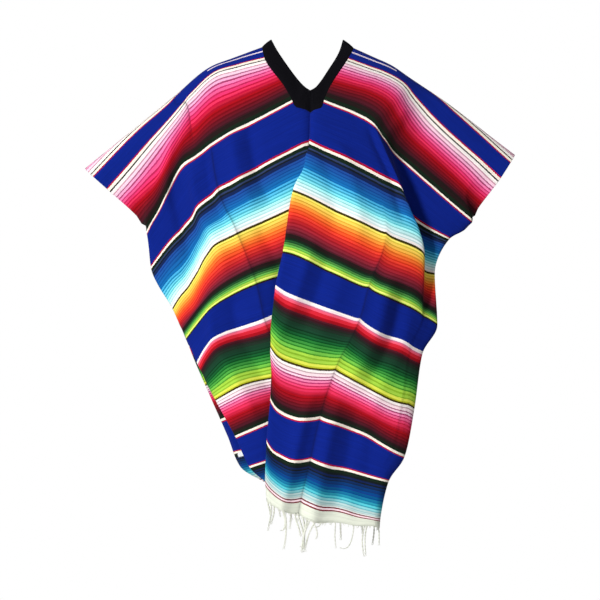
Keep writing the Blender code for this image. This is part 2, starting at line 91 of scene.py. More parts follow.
# Middle of the front. Columns: cloth distance, across and height of the hidden inner fold, and of
# the outer fold that laps over it. Above the foot of the neck they are the neck's two edges.
MIDDLE = (
    (RIDGE, -10.8, -0.4, 10.7, -0.6),
    (2.1, -10.3, -3.0, 9.5, -3.0),
    (10.6, -5.6, -9.7, 5.2, -9.7),
    (13.2, -4.1, -12.2, 4.0, -12.2),
    (14.1, -3.7, -13.1, 3.7, -13.1),
    (16.2, -3.0, -14.5, 3.2, -14.7),
    (NECK_FOOT, 0.4, -15.6, 0.4, -15.6),
    (24.2, -0.2, -23.2, -0.2, -22.8),
    (35.7, 0.9, -36.0, -3.5, -34.1),
    (49.6, 3.5, -51.2, -5.9, -48.9),
    (57.8, 3.9, -58.2, -7.6, -56.9),
    (71.0, 8.7, -71.6, -8.7, -70.7),
    (82.3, 12.2, -79.1, -8.9, -82.5),
    (92.1, 13.9, -87.2, -9.6, -92.8),
    (101.1, 16.5, -94.9, -9.9, -102.0),
    (104.8, 17.4, -98.0, -9.5, -107.6),
)

# Right half of the front. Columns: cloth distance, then across and height of the pressed crease, of
# the deep fold beside the sleeve, of the cloth that comes out from under it, and of the outline.
RIGHT_HALF = (
    (RIDGE, 19.3, -4.5, 24.2, -7.8, 30.5, -12.0, 48.6, -25.8),
    (2.1, 18.1, -6.2, 23.0, -9.2, 27.7, -14.7, 45.4, -31.1),
    (10.6, 13.4, -12.2, 17.9, -15.0, 22.1, -21.2, 40.0, -38.3),
    (13.2, 10.8, -14.8, 15.8, -17.7, 20.4, -23.7, 38.7, -40.3),
    (14.1, 10.3, -15.7, 15.5, -18.7, 20.0, -24.6, 38.4, -40.9),
    (16.2, 10.6, -17.9, 16.5, -21.2, 20.6, -27.0, 37.4, -42.2),
    (NECK_FOOT, 11.3, -19.7, 17.6, -23.9, 21.6, -29.6, 36.5, -43.2),
    (24.2, 15.7, -30.3, 22.3, -33.9, 24.2, -40.3, 33.1, -45.5),
    (35.7, 18.3, -44.4, 27.3, -49.9, 27.7, -53.1, 29.7, -53.6),
    (49.6, 14.1, -57.8, 26.6, -63.5, 28.0, -64.3, 30.3, -65.8),
    (57.8, 12.0, -64.9, 23.5, -70.5, 25.1, -71.6, 26.8, -72.4),
    (71.0, 6.3, -76.9, 21.6, -84.1, 23.3, -84.4, 24.9, -85.3),
    (82.3, 2.7, -88.2, 19.3, -95.1, 20.9, -95.9, 22.6, -96.6),
    (92.1, 0.5, -97.9, 15.7, -101.8, 17.2, -102.2, 18.8, -102.6),
    (101.1, -1.6, -106.7, 14.1, -110.5, 15.5, -110.9, 16.9, -111.2),
    (104.8, -2.3, -110.5, 14.1, -112.6, 15.3, -112.8, 16.7, -113.3),
)

# Depths. Columns: cloth distance, depth of the body and of the sleeve, width of the side strip that
# is turned in (below zero where it lies flat), spacing of the pleat's layers, and drop of the deep
# fold beside the right sleeve.
DEPTHS = (
    (RIDGE, 0.0, 0.0, -4.5, 0.0, 0.0),
    (2.1, 3.4, 3.2, -4.5, 0.0, 0.4),
    (10.6, 8.0, 4.8, -4.5, 0.0, 1.0),
    (13.2, 8.9, 5.0, -0.15, 0.0, 1.3),
    (14.1, 9.2, 5.0, 3.0, 0.0, 1.4),
    (16.2, 9.8, 5.0, 5.5, 0.0, 1.8),
    (NECK_FOOT, 10.2, 5.0, 7.5, 0.1, 1.9),
    (24.2, 11.3, 5.2, 11.5, 0.6, 2.8),
    (35.7, 12.4, 6.0, 12.5, 0.9, 2.4),
    (49.6, 13.2, 7.2, 14.0, 1.1, 0.6),
    (57.8, 13.6, 8.0, 16.0, 1.2, 0.3),
    (71.0, 14.0, 8.8, 17.0, 1.2, 0.2),
    (82.3, 14.3, 9.4, 17.5, 1.2, 0.1),
    (92.1, 14.5, 9.8, 17.5, 1.2, 0.0),
    (101.1, 14.6, 10.0, 17.5, 1.2, 0.0),
    (104.8, 14.6, 10.0, 17.5, 1.2, 0.0),
)

# The back hangs a little apart from the front. Columns: cloth distance, then how far its left
# outline and its outer fold lie from the front's, across.
BACK_SHIFTS = (
    (RIDGE, 0.0, 0.0),
    (35.7, 0.0, 0.0),
    (57.8, -0.3, 2.0),
    (71.0, -1.0, 3.0),
    (82.3, -1.9, 3.6),
    (92.1, -2.3, 4.0),
    (FRONT_HEM, 1.5, 5.0),
)

# Sag of the right half beside the pleat, where the cloth swings down from its outer fold: cloth
# distance and sag. Right beside the fold it is a share of that.
PLEAT_SAG = (
    (24.2, 0.0), (49.6, -0.3), (57.8, 0.6), (71.0, 1.9), (82.3, 2.5), (92.1, 2.6), (101.1, 2.3),
    (FRONT_HEM, 0.6),
)
TURN_SAG = 0.75

ROW_STEP = 0.78  # of the finished mesh along the cloth
LEAST_CHORD = 0.05  # between stations, where two of them meet
SPANS = {  # faces of the mesh from each station to the next, across a section
    "left": (13, 15, 5, 30, 24, 22, 17, 8, 5, 4),
    "right": (4, 5, 8, 17, 22, 22, 8, 8, 12, 5, 15, 13),
}
CREASE_STATION = 5
CREASE_PLACES = {"left": -24.0, "right": 24.0}

# Soft folds and pressed creases. Columns: place along the weft at the start and the end, place along
# the cloth of the start and the end, height, half width. A height below zero is a trough.
FRONT_FOLDS = {
    "left": (
        (-24, -24, 6, 98, 0.42, 1.1), (-38, -36.6, 12, 42, -1.2, 2.6), (-30.6, -29.6, 13, 46, 1.4, 2.4),
        (-26.2, -26, 13, 34, -0.8, 1.7), (-40, -38, 2, 30, 0.8, 2.6),
        (-38.5, -29.4, -1.5, 11.5, -0.9, 1.3), (-18.6, -18, 13, 34, 1.2, 2.4),
        (-14.2, -13.8, 13, 34, -1, 2), (-18.5, -17, 34, 62, -1.3, 2.4), (-12.5, -12, 40, 90, 1.1, 2.4),
        (-31, -30, 46, 82, -1.3, 2.6), (-37.5, -36, 45, 84, 1.1, 2.4),
    ),
    "right": (
        (24, 24, 30, 76, 0.42, 1.2), (24.2, 24.2, 70, 112, -0.6, 1.4), (10, 11, 20, 44, -0.6, 2.6),
        (16.5, 17, 20, 44, 0.7, 2.8), (8, 8.2, 43, 70, 1, 2), (12.4, 12.6, 43, 66, -0.6, 1.8),
        (17, 17, 43, 72, 0.5, 2.4), (28.4, 28.6, 14, 33, -0.8, 1.6), (28.2, 28.2, 42, 74, 1.4, 2.6),
        (32.4, 32.4, 44, 72, -0.7, 1.8), (35.5, 35.5, 48, 80, 0.5, 2), (8, 6.5, 72, 106, -0.6, 2.2),
        (20.4, 19.8, 74, 112, 1.5, 2.2), (26.8, 27.4, 74, 112, 1.5, 2.2),
        (32, 32.6, 74, 106, -0.9, 2.4), (37.5, 37.5, 76, 106, -0.5, 2.2), (33, 36, 4, 24, 0.7, 2.6),
        (40, 42, 2, 22, -0.6, 2.6),
    ),
}
BACK_FOLDS = {
    "left": (
        (-24, -24, 6, 100, 0.42, 1.1), (-33, -31, 14, 46, -0.75, 2.8), (-14, -12, 24, 66, -0.8, 3.2),
        (-8, -9.5, 40, 96, 0.65, 2.8), (-31, -29.5, 44, 98, -0.8, 3), (-37, -36, 50, 92, 0.65, 2.6),
    ),
    "right": (
        (24, 24, 8, 100, 0.42, 1.2), (11, 9, 30, 72, 0.75, 3), (16, 16.5, 46, 99, -0.8, 3),
        (31, 32, 40, 96, -0.85, 3.2), (37, 36.5, 54, 99, 0.7, 2.6), (34, 37, 4, 26, 0.6, 2.6),
    ),
}
CENTRE_TROUGH = (17.0, 26.5, -1.3, 0.9)  # below the V: start, end, height and half width
FADE_SHARE = 0.2  # of a fold's length, over which it rises and fades
SOFT_WIDTH = 1.5  # a fold under this half width is a pressed crease
SOFT_FALL = 1.6  # how fast a soft fold falls off

# Where the weft threads rise or dip within the cloth's own face, in the same columns, and where the
# stripes alone lie off their place.
FRONT_SLIPS = {
    "left": (
        (-34.5, -33, 0, 16, 0.8, 3.2), (-38, -37, 13, 34, -0.8, 4.4), (-40.5, -40.5, 27, 46, -1.8, 4.5),
        (-33, -33.4, 17, 31, -0.8, 2.4), (-20, -20, 18, 31, -0.6, 4), (-17, -17, -1, 18, 0.3, 6),
        (-29, -29, 8, 19, -0.4, 3), (-29, -29, 18, 32, -0.4, 4), (-38.5, -29.6, -1.5, 11, 0.6, 1.4),
        (-29, -29, 29, 42, 0.5, 4), (-42, -42, 51, 65, 0.6, 4),
    ),
    "right": (
        (29, 30, 51, 68, -1.3, 5), (28.5, 29, 66, 78, -0.3, 4), (28, 29, 17, 30, -0.5, 4),
        (36, 36, 76, 90, 0.4, 4), (17, 17, 84, 140, 0.6, 3.4), (28.5, 28.5, 85, 140, -1, 3.6),
        (37.5, 37.5, 96, 150, -0.7, 3.4), (24, 24, 20, 140, 0.6, 1.2),
    ),
}
BACK_SLIPS = {
    "left": (),
    "right": (
        (24, 24, 20, 140, 0.6, 1.2),
    ),
}
FRONT_SHIFTS = {
    "left": (
        (-44, -43, 5, 22, -1, 5), (-39, -39, -11.4, 2.6, -1.3, 8),
    ),
    "right": (
        (37, 38, 6, 22, -0.4, 3),
    ),
}


def unit(vectors):
    """Vectors divided by their length."""
    return vectors / np.maximum(np.linalg.norm(vectors, axis=-1, keepdims=True), 1e-9)


def eased(share):
    """A share with a gentle start and end: three times its square less twice its cube."""
    return share * share * (3.0 - 2.0 * share)


def run_along(points, axis, least=0.0):
    """Length run to each point along one axis of a grid, where no step counts less than the least."""
    steps = np.maximum(np.linalg.norm(np.diff(points, axis=axis), axis=-1), least)
    return np.concatenate([np.zeros_like(np.take(steps, [0], axis)), np.cumsum(steps, axis)], axis)


def read_table(table, place, column=1):
    """A column of a table, read at a place along the cloth, straight between its rows."""
    return np.interp(place, [row[0] for row in table], [row[column] for row in table])


def spline(knots, values, places, level_peaks, first_slope=None):
    """A smooth curve through values at the knots, read at places.

    Each inner knot's slope is the weighted mean of the chords beside it, or with level_peaks their
    harmonic mean, and none where they turn back. Each span is the cubic with those slopes.
    """
    step = np.diff(knots, axis=-1)
    chord = np.diff(values, axis=-1) / step
    before, after = chord[..., :-1], chord[..., 1:]
    slope = np.empty_like(values)
    if level_peaks:
        same_way = before * after > 0.0
        total = np.where(same_way, before + after, 1.0)
        slope[..., 1:-1] = np.where(same_way, 2.0 * before * after / total, 0.0)
    else:
        slope[..., 1:-1] = (before * step[..., 1:] + after * step[..., :-1]) / (
            step[..., 1:] + step[..., :-1])
    slope[..., 0] = chord[..., 0] if first_slope is None else first_slope
    slope[..., -1] = chord[..., -1]
    span, part = places
    h = np.take(step, span, axis=-1)
    low, high = np.take(values, span, axis=-1), np.take(values, span + 1, axis=-1)
    slope_low, slope_high = np.take(slope, span, axis=-1), np.take(slope, span + 1, axis=-1)
    return ((2 * part**3 - 3 * part**2 + 1) * low + (part**3 - 2 * part**2 + part) * h * slope_low
            + (3 * part**2 - 2 * part**3) * high + (part**3 - part**2) * h * slope_high)


def places_at(knots, wanted):
    """The span and the part of that span for each wanted place along the knots."""
    knots, wanted = np.asarray(knots), np.asarray(wanted)
    span = np.clip(np.searchsorted(knots, wanted, side="right") - 1, 0, len(knots) - 2)
    return span, (wanted - knots[span]) / (knots[span + 1] - knots[span])


def places_between(spans):
    """Even places with a count of spans between each pair of stations."""
    span = np.concatenate([np.full(count, k) for k, count in enumerate(spans)] + [[len(spans) - 1]])
    part = np.concatenate([np.arange(count) / count for count in spans] + [[1.0]])
    return span.astype(int), part


def body_form(across, body, sleeve):
    """Depth of a general figure under the cloth: the body's in the middle, the sleeve's outside."""
    across = abs(across)
    share = eased(np.clip((across - BODY_HALF_WIDTH) / (SLEEVE_START - BODY_HALF_WIDTH), 0.0, 1.0))
    round_body = 1.0 - BODY_ROUNDNESS * min(across / SLEEVE_START, 1.0) ** 2
    return body * round_body * (1.0 - share) + sleeve * share


def stations(side):
    """The stations of every section, left and right half, as (across, depth, height) in cm."""
    rows = {"left": [], "right": []}
    for left, middle, right, depth in zip(LEFT_HALF, MIDDLE, RIGHT_HALF, DEPTHS):
        cloth, body, sleeve, strip, layer, drop = depth
        outline, bend, crease = (np.array(left[k:k + 2]) for k in (1, 3, 5))
        inner, outer = (np.array(middle[k:k + 2]) for k in (1, 3))
        r_crease, r_fold, r_under, r_outline = (np.array(right[k:k + 2]) for k in (1, 3, 5, 7))
        if side > 0:
            outline[0] += read_table(BACK_SHIFTS, cloth, 1)
            outer[0] += read_table(BACK_SHIFTS, cloth, 2)

        def at(point, layers=0.0, sink=0.0):
            """A station at a point of the front view, so many layers out from the body's form."""
            form = body_form(point[0], body, sleeve)
            return np.array((point[0], form + layers * layer - sink, point[1]))

        def turned_in(edge, towards, layers, strip_depths):
            """Selvedge, middle and inner fold of the strip that is turned in at a side."""
            along = unit(towards - edge)
            if strip < 0.0:
                curl = SLEEVE_CURL * max(cloth - LEFT_HALF[1][0], 0.0)
                return [at(edge - along * strip * share, layers, curl * (1.0 - share))
                        for share in np.linspace(0.0, 1.0, len(STRIP_PLACES) + 1)]
            form = at(edge, layers)[1]
            turn = min(EDGE_RETURN, EDGE_SHARE * form)
            points = []
            for far, deep in zip(STRIP_PLACES, strip_depths):
                point = edge + along * (STRIP_START * turn + strip * far)
                points.append(np.array((point[0], (form - turn) * deep, point[1])))
            return points + [at(edge, layers, 0.5 * turn)]

        def to_opening(start, edge, layers):
            """Stations from a crease to the edge of the opening."""
            return [at(start + (edge - start) * share, out) for share, out in zip(OPENING_SHARES, layers)]

        lap = inner[0] - outer[0]
        if lap < LEAST_LAP:
            inward = to_opening(crease, inner, LEFT_LAYERS)
            onward = to_opening(r_crease, outer, RIGHT_LAYERS)[::-1]
        else:
            turn = min(PLEAT_TURN, PLEAT_TURN_SHARE * lap)
            row = (inner - outer) / lap
            centre = 0.5 * (inner + outer)
            left_turn = inner + unit(crease - inner) * turn
            right_turn = outer + unit(r_crease - outer) * turn
            inward = [at(0.5 * (crease + inner)), at(left_turn), at(inner, 0.5),
                      at(inner - row * turn, 1.0), at(centre, 1.0)]
            sag = np.array((0.0, read_table(PLEAT_SAG, cloth)))
            onward = [at(centre, 1.0), at(outer + row * turn, 1.0), at(outer, 1.5),
                      at(right_turn - TURN_SAG * sag, 2.0), at(0.5 * (outer + r_crease) - sag, 2.0)]
        hidden = 0.5 * (r_fold + r_under) - np.array((FOLD_UNDERCUT * drop, 0.0))
        left_strip = turned_in(outline, bend, 0.0, STRIP_DEPTHS["left"])
        right_strip = turned_in(r_outline, r_under, 2.0, STRIP_DEPTHS["right"])
        rows["left"].append(left_strip + [at(bend), at(crease)] + inward)
        rows["right"].append(onward + [at(r_crease, 2.0), at(r_fold, 2.0, -0.5 * drop), at(hidden, 2.0),
                                       at(r_under, 2.0, 0.5 * drop)] + right_strip[::-1])
    level = np.array((0.0, RIDGE_TURN, -RIDGE_DROP * RIDGE_TURN))
    for half in rows:
        rows[half].insert(1, rows[half][0] + level)
        rows[half] = np.array(rows[half])
    return rows


def half_cloth(rows, cloth_places, spans):
    """Points over one half: smooth curves down the stations, then across each section, in cm.

    At the ridge the height's slope is none, so the front and the back run over it as one cloth.
    """
    knots = np.array([RIDGE, RIDGE + RIDGE_TURN] + [row[0] for row in DEPTHS[1:]])
    columns = np.moveaxis(rows, 0, -1)
    first_slope = (columns[..., 1] - columns[..., 0]) / RIDGE_TURN
    first_slope[:, 2] = 0.0
    down = spline(knots, columns, places_at(knots, cloth_places), True, first_slope)
    down = np.moveaxis(down, -1, 0)
    along = run_along(down, 1, LEAST_CHORD)
    across = [spline(along, down[:, :, axis], places_between(spans), axis == 1) for axis in range(3)]
    return np.stack(across, axis=-1)


def front_pattern(points, places):
    """Distance along the cloth from the middle of the shoulder stripe, as the weave counts it.

    In front it is the section's own place. Above the first section it is that section's place less
    the length of cloth between the two on the same column, so the stripes run up over the ridge.
    """
    run = run_along(points, 0)
    first = LEFT_HALF[1][0]
    span, part = places_at(places, first)
    at_first = run[span] + (run[span + 1] - run[span]) * part
    places = np.broadcast_to(places[:, None], run.shape)
    return np.where(places < first, first - at_first + run, places)


def back_pattern(ridge, places):
    """The mirrored pattern behind: even steps on each column from the ridge's place to the hem."""
    share = ((places - RIDGE) / (BACK_HEM - RIDGE))[:, None]
    return ridge - (FRONT_HEM + ridge) * share


def fold_height(weft, cloth_places, folds):
    """Height of the folds: each is a ridge that falls off on both sides of its line and at its ends.

    Across the line the height falls as one over the hyperbolic cosine of the distance in half
    widths, and on a pressed crease as an exponential to a sharp line.
    """
    height = np.zeros_like(weft)
    for start, end, top, foot, tall, width in folds:
        share = (cloth_places - top) / (foot - top)
        fade = eased(np.clip(np.minimum(share, 1.0 - share) / FADE_SHARE, 0.0, 1.0))
        far = np.abs(weft - (start + (end - start) * np.clip(share, 0.0, 1.0))[:, None]) / width
        across = np.exp(-far) if width < SOFT_WIDTH else 1.0 / np.cosh(SOFT_FALL * far)
        height += tall * fade[:, None] * across
    return height


def surface_normals(points):
    """Unit normals of a grid of points: the cross product of its two directions."""
    return unit(np.cross(np.gradient(points, axis=1), np.gradient(points, axis=0)))


def to_world(points, side):
    """From (across, depth, height) in cm to metres; side is -1 for the front and 1 for the back."""
    across, depth, height = (points[..., k] * CM for k in range(3))
    return np.stack([across, -ARM_FORWARD * across**2 + side * depth, height], axis=-1)


def cloth_half(side, half, ridge=None):
    """Points in metres, weft places, pattern places and the foot of the neck's row, of one half.

    The place along the weft is the length run across the section, counted from the pressed crease.
    """
    hem = FRONT_HEM if side < 0 else BACK_HEM
    upper = np.linspace(RIDGE, NECK_FOOT, int((NECK_FOOT - RIDGE) / ROW_STEP))
    lower = np.linspace(NECK_FOOT, hem, int((hem - NECK_FOOT) / ROW_STEP))
    places = np.concatenate([upper, lower[1:]])
    points = half_cloth(stations(side)[half], places, SPANS[half])
    run = run_along(points, 1)
    crease = sum(SPANS[half][:CREASE_STATION])
    weft = CREASE_PLACES[half] + run - run[:, crease:crease + 1]
    folds, slips = (FRONT_FOLDS, FRONT_SLIPS) if side < 0 else (BACK_FOLDS, BACK_SLIPS)
    height = fold_height(weft, places, folds[half])
    if side < 0:
        pattern = front_pattern(points, places) + fold_height(weft, places, FRONT_SHIFTS[half])
        top, foot, tall, width = CENTRE_TROUGH
        middle = weft[:, -1:] if half == "left" else weft[:, :1]
        fade = np.clip(np.minimum(places - top, foot - places), 0.0, 1.0)[:, None]
        height += tall * fade * np.exp(-np.abs(weft - middle) / width)
    else:
        pattern = back_pattern(ridge, places)
    points[..., 2] += fold_height(weft, places, slips[half])
    points = to_world(points, side)
    points += surface_normals(points) * (side * height * CM)[..., None]
    return points, weft * CM, pattern * CM, len(upper) - 1


def grid_numbers(grid):
    """The numbers of a grid's points, row by row."""
    return np.arange(grid[..., 0].size).reshape(grid.shape[:2])


def grid_faces(numbers, flip):
    """Four-sided faces over a grid of vertex numbers."""
    corners = [numbers[:-1, :-1], numbers[1:, :-1], numbers[1:, 1:], numbers[:-1, 1:]]
    if flip:
        corners = corners[::-1]
    return np.stack(corners, axis=-1).reshape(-1, 4)


def place_in_scene(name, data):
    """A new object for a mesh, a light or a camera."""
    placed = bpy.data.objects.new(name, data)
    bpy.context.scene.collection.objects.link(placed)
    return placed


def mesh_object(name, points, faces, places=None):
    """A smooth mesh of four-sided faces, with a UV map in metres where places along it are given."""
    mesh = bpy.data.meshes.new(name)
    mesh.vertices.add(len(points))
    mesh.vertices.foreach_set("co", np.asarray(points, dtype=np.float32).ravel())
    mesh.loops.add(faces.size)
    mesh.loops.foreach_set("vertex_index", faces.astype(np.int32).ravel())
    mesh.polygons.add(len(faces))
    mesh.polygons.foreach_set("loop_start", np.arange(0, faces.size, 4, dtype=np.int32))
    mesh.update(calc_edges=True)
    mesh.validate()
    mesh.shade_smooth()
    if places is not None:
        layer = mesh.uv_layers.new(name="cloth")
        layer.data.foreach_set("uv", np.asarray(places, dtype=np.float32).ravel())
    return place_in_scene(name, mesh)


def give_wall(piece, thickness):
    """Gives a thin piece its thickness, half of it on each side."""
    wall = piece.modifiers.new("wall", "SOLIDIFY")
    wall.thickness = thickness
    wall.offset = 0.0


def make_cloth(name, side, ridges=(None, None)):
    """One part of the cloth: two grids that share the line below the neck, given a wall."""
    left, right = (cloth_half(side, half, ridge) for half, ridge in zip(("left", "right"), ridges))
    foot = left[3]
    places = [np.stack(half[1:3], axis=-1).reshape(-1, 2)[grid_faces(grid_numbers(half[0]), side > 0)]
              for half in (left, right)]
    left_numbers = grid_numbers(left[0])
    right_numbers = grid_numbers(right[0]) + left_numbers.size
    right_numbers[foot:, 0] = left_numbers[foot:, -1]
    faces = np.concatenate([grid_faces(numbers, side > 0) for numbers in (left_numbers, right_numbers)])
    points = np.concatenate([half[0].reshape(-1, 3) for half in (left, right)])
    used, numbers = np.unique(faces, return_inverse=True)
    piece = mesh_object(name, points[used], numbers.reshape(-1, 4), np.concatenate(places))
    give_wall(piece, CLOTH_WALL)
    return piece, left, right


front, front_left, front_right = make_cloth("cloth_front_woven", -1)
ridge_pattern = [half[2][0] / CM for half in (front_left, front_right)]
back, back_left, back_right = make_cloth("cloth_back_woven", 1, ridge_pattern)

# The yarns of the stripes, by name, as they look on the cone in daylight.
YARNS = {
    "royal": (9, 33, 128), "crimson": (176, 16, 50), "claret": (112, 10, 30), "cream": (250, 240, 226),
    "white": (248, 240, 236), "ash": (196, 166, 172), "dust": (194, 146, 162), "ecru": (222, 226, 210),
    "bottle": (20, 36, 24), "black": (36, 24, 24), "ink": (20, 27, 32), "petal": (250, 206, 224),
    "rose": (248, 172, 208), "mauve": (162, 96, 126), "dusk": (164, 64, 106), "orchid": (250, 126, 178),
    "fuchsia": (228, 54, 110), "magenta": (188, 52, 106), "berry": (190, 18, 58),
    "cherry": (228, 50, 90), "ruby": (166, 12, 26), "blood": (136, 6, 18), "garnet": (152, 16, 30),
    "plum": (76, 22, 34), "oxblood": (116, 8, 22), "soot": (56, 20, 28), "blush": (250, 222, 228),
    "flamingo": (248, 138, 182), "carmine": (242, 68, 116), "raspberry": (202, 34, 66),
    "midnight": (20, 38, 84), "violet": (46, 60, 98), "night": (18, 34, 80), "denim": (32, 76, 154),
    "cobalt": (20, 108, 176), "naval": (16, 56, 132), "ocean": (14, 96, 160), "sky": (70, 176, 224),
    "aqua": (130, 226, 240), "teal": (20, 124, 172), "pool": (84, 192, 204), "ice": (176, 250, 252),
    "snow": (236, 252, 252), "mist": (140, 206, 208), "frost": (206, 230, 230), "olive": (62, 54, 12),
    "lemon": (255, 236, 108), "amber": (254, 190, 78), "straw": (222, 192, 58), "ochre": (226, 140, 44),
    "orange": (255, 148, 58), "flame": (244, 84, 42), "copper": (228, 96, 28), "ember": (212, 48, 22),
    "vermilion": (240, 66, 48), "brick": (188, 36, 44), "scarlet": (204, 34, 28), "rust": (154, 24, 34),
    "wine": (168, 38, 52), "maroon": (106, 34, 50), "cherrywood": (134, 24, 40), "umber": (76, 26, 36),
    "green": (34, 84, 44), "leaf": (108, 188, 82), "fern": (28, 66, 36), "clover": (88, 166, 58),
    "lime": (236, 242, 120), "apple": (168, 208, 74), "moss": (150, 190, 54), "coral": (240, 92, 118),
    "peony": (206, 110, 140), "poppy": (208, 36, 52), "loam": (40, 32, 33), "pine": (24, 58, 40),
    "bog": (28, 38, 28), "forest": (22, 64, 42), "emerald": (22, 92, 46), "ivy": (10, 50, 28),
    "holly": (8, 72, 30), "grass": (38, 122, 52), "meadow": (80, 168, 68), "hedge": (16, 94, 32),
    "lawn": (44, 128, 38), "kiwi": (116, 194, 72), "pear": (166, 212, 70), "sprout": (76, 150, 42),
    "citron": (134, 178, 44), "sun": (222, 228, 84), "mustard": (186, 190, 44), "sea": (4, 64, 128),
    "lagoon": (42, 150, 174), "harbour": (6, 84, 136), "surf": (30, 132, 158), "shell": (186, 212, 210),
    "foam": (216, 218, 212), "tide": (148, 184, 186),
}

# The chart of the weave from the middle of the shoulders to the hem, in mm. A plain stripe names a
# yarn and its width. A graded one names its first and last yarn, the first and last yarn of the
# thin lines between its steps, the count of steps, and the widths of a step and of a line.
CHART = (
    ("royal", 19.5), ("crimson", 2.6), ("cream", 5.4), ("bottle", 2.6), ("white", 6.3), ("dust", 2.6),
    ("petal", "rose", "mauve", "dusk", 2, 4.7, 2.8),
    ("orchid", "fuchsia", "magenta", "berry", 3, 4.4, 2.8),
    ("cherry", "ruby", "berry", "blood", 3, 3.9, 2.8),
    ("garnet", "plum", "oxblood", "soot", 4, 3.7, 2.8),
    ("black", 8.3), ("bottle", 8.5), ("cream", 5.5), ("crimson", 3.0),
    ("royal", 86.5), ("crimson", 3.5), ("cream", 6.0), ("bottle", 8.0),
    ("violet", "midnight", "ink", "night", 2, 4.0, 3.5),
    ("denim", "cobalt", "naval", "ocean", 5, 4.2, 2.6),
    ("sky", "aqua", "teal", "pool", 4, 4.1, 2.9),
    ("ice", "snow", "mist", "frost", 3, 4.3, 3.1),
    ("white", 5.8), ("olive", 5.4),
    ("lemon", "amber", "straw", "ochre", 3, 4.6, 3.0),
    ("orange", "flame", "copper", "ember", 3, 4.6, 3.0),
    ("vermilion", "brick", "scarlet", "rust", 3, 4.6, 3.0),
    ("wine", "maroon", "cherrywood", "umber", 3, 4.6, 3.0),
    ("black", 8.0), ("bottle", 5.0),
    ("green", "leaf", "fern", "clover", 3, 3.3, 1.6),
    ("apple", "lime", "moss", "apple", 2, 4.2, 1.6), ("black", 4.0),
    ("royal", 76.4),
    ("white", 5.0), ("blush", 2.6), ("peony", 2.6), ("coral", 5.0), ("poppy", 8.6),
    ("ruby", 3.6), ("garnet", 3.4), ("plum", 3.6), ("soot", 4.0),
    ("loam", "pine", "bog", "pine", 3, 4.0, 2.5),
    ("forest", "emerald", "ivy", "holly", 3, 4.0, 2.5),
    ("grass", "meadow", "hedge", "lawn", 3, 4.4, 2.7),
    ("kiwi", "pear", "sprout", "citron", 2, 5.6, 3.2),
    ("pear", "sun", "citron", "mustard", 2, 5.8, 3.0),
    ("olive", 4.6), ("white", 5.4), ("ash", 2.4), ("blush", 1.6),
    ("blush", "petal", "mauve", "dusk", 2, 4.2, 2.8),
    ("flamingo", "carmine", "magenta", "raspberry", 3, 4.2, 2.8),
    ("cherry", "ruby", "raspberry", "blood", 3, 4.2, 2.8),
    ("garnet", "plum", "oxblood", "soot", 4, 4.2, 2.8),
    ("black", 6.0), ("bottle", 8.0), ("cream", 6.0), ("crimson", 3.4),
    ("royal", 85.6), ("crimson", 3.5), ("cream", 5.5), ("bottle", 7.0), ("ink", 5.0),
    ("night", "sea", "ink", "naval", 4, 4.4, 2.6),
    ("harbour", "lagoon", "sea", "surf", 3, 4.2, 2.4),
    ("pool", "shell", "lagoon", "tide", 3, 4.4, 2.5), ("shell", "foam", "tide", "frost", 2, 2.7, 1.1),
    ("claret", 3.3), ("blush", 4.0), ("claret", 3.3), ("ecru", 60.0),
)
MM = 0.001
RAMP_STOPS = 31
CLOTH_PITCHES = (0.0034, 0.0014)  # of the warp and of the weft
CLOTH_FINISH = {"Roughness": 0.9, "Specular IOR Level": 0.06, "Sheen Weight": 0.03, "Sheen Roughness": 0.5}
CLOTH_BUMP = (0.55, 0.0006)  # strength and distance
EDGE_WANDER = 0.004  # of the stripes' edges, in long waves
WANDER_NOISE = (5.0, 2.0)  # scale and detail
EDGE_JAG = 0.0016  # and from thread to thread
JAG_NOISE = (320.0, 1.0)
NAP_NOISE = (900.0, 3.0)
NAP_RELIEF = 0.35
MARK_THREAD = (0.0022, 0.0018, 0.26)  # place, half width and reach of the pale thread on the shoulders
MARK_COLOUR = (0.80, 0.68, 0.78, 1.0)
THREAD_HEIGHTS = (0.35, 0.65)  # swing of a weft thread's height, and its middle
SLUB_PACE = 9.0  # streaks to a metre along a thread
SLUB_SHIFT = 7.31  # and how far the next row's lie from them
SLUB_RANGE = (0.3, 0.7, 0.86, 1.12)  # of their noise, and the shade that it gives
LINT_COLOUR = (0.55, 0.5, 0.5, 1.0)
LINT_RANGE = (0.64, 0.78, 0.0, 0.05)  # of the nap's noise, and the share of lint over it
# painted shade: the near-black colour that the crease lines are mixed towards, in place of their shadow
CREASE_SHADE_COLOUR = (0.004, 0.004, 0.008, 1.0)
# Painted shade, darkening the colour along the pressed creases and the bend of the left shoulder: place
# along the weft at the top and at the foot, top and foot along the cloth, all in metres, and strength.
PAINTED_CREASE_SHADES = (
    (-0.24, -0.24, 0.12, 0.66, 0.55),
    (0.24, 0.24, 0.36, 1.10, 0.5),
    (-0.385, -0.294, -0.015, 0.115, 0.75),
)
CREASE_SHADE_WIDTH = 0.0024
CREASE_SHADE_FADE = 0.05


def linear(colour):
    """A screen colour of 0 to 255 as linear light."""
    share = np.asarray(colour, dtype=float) / 255.0
    return np.where(share <= 0.04045, share / 12.92, ((share + 0.055) / 1.055) ** 2.4)


def chart_stripes():
    """Start in metres and linear colour of every stripe of the chart, in order."""
    starts, colours, place = [], [], 0.0
    for row in CHART:
        if len(row) == 2:
            steps = [(YARNS[row[0]], row[1])]
        else:
            first, last, line_first, line_last = (np.array(YARNS[name], dtype=float) for name in row[:4])
            steps = []
            for share in np.linspace(0.0, 1.0, row[4]):
                steps.append((first + (last - first) * share, row[5]))
                steps.append((line_first + (line_last - line_first) * share, row[6]))
        for colour, width in steps:
            starts.append(place * MM)
            colours.append(linear(colour))
            place += width
    return starts, colours, place * MM


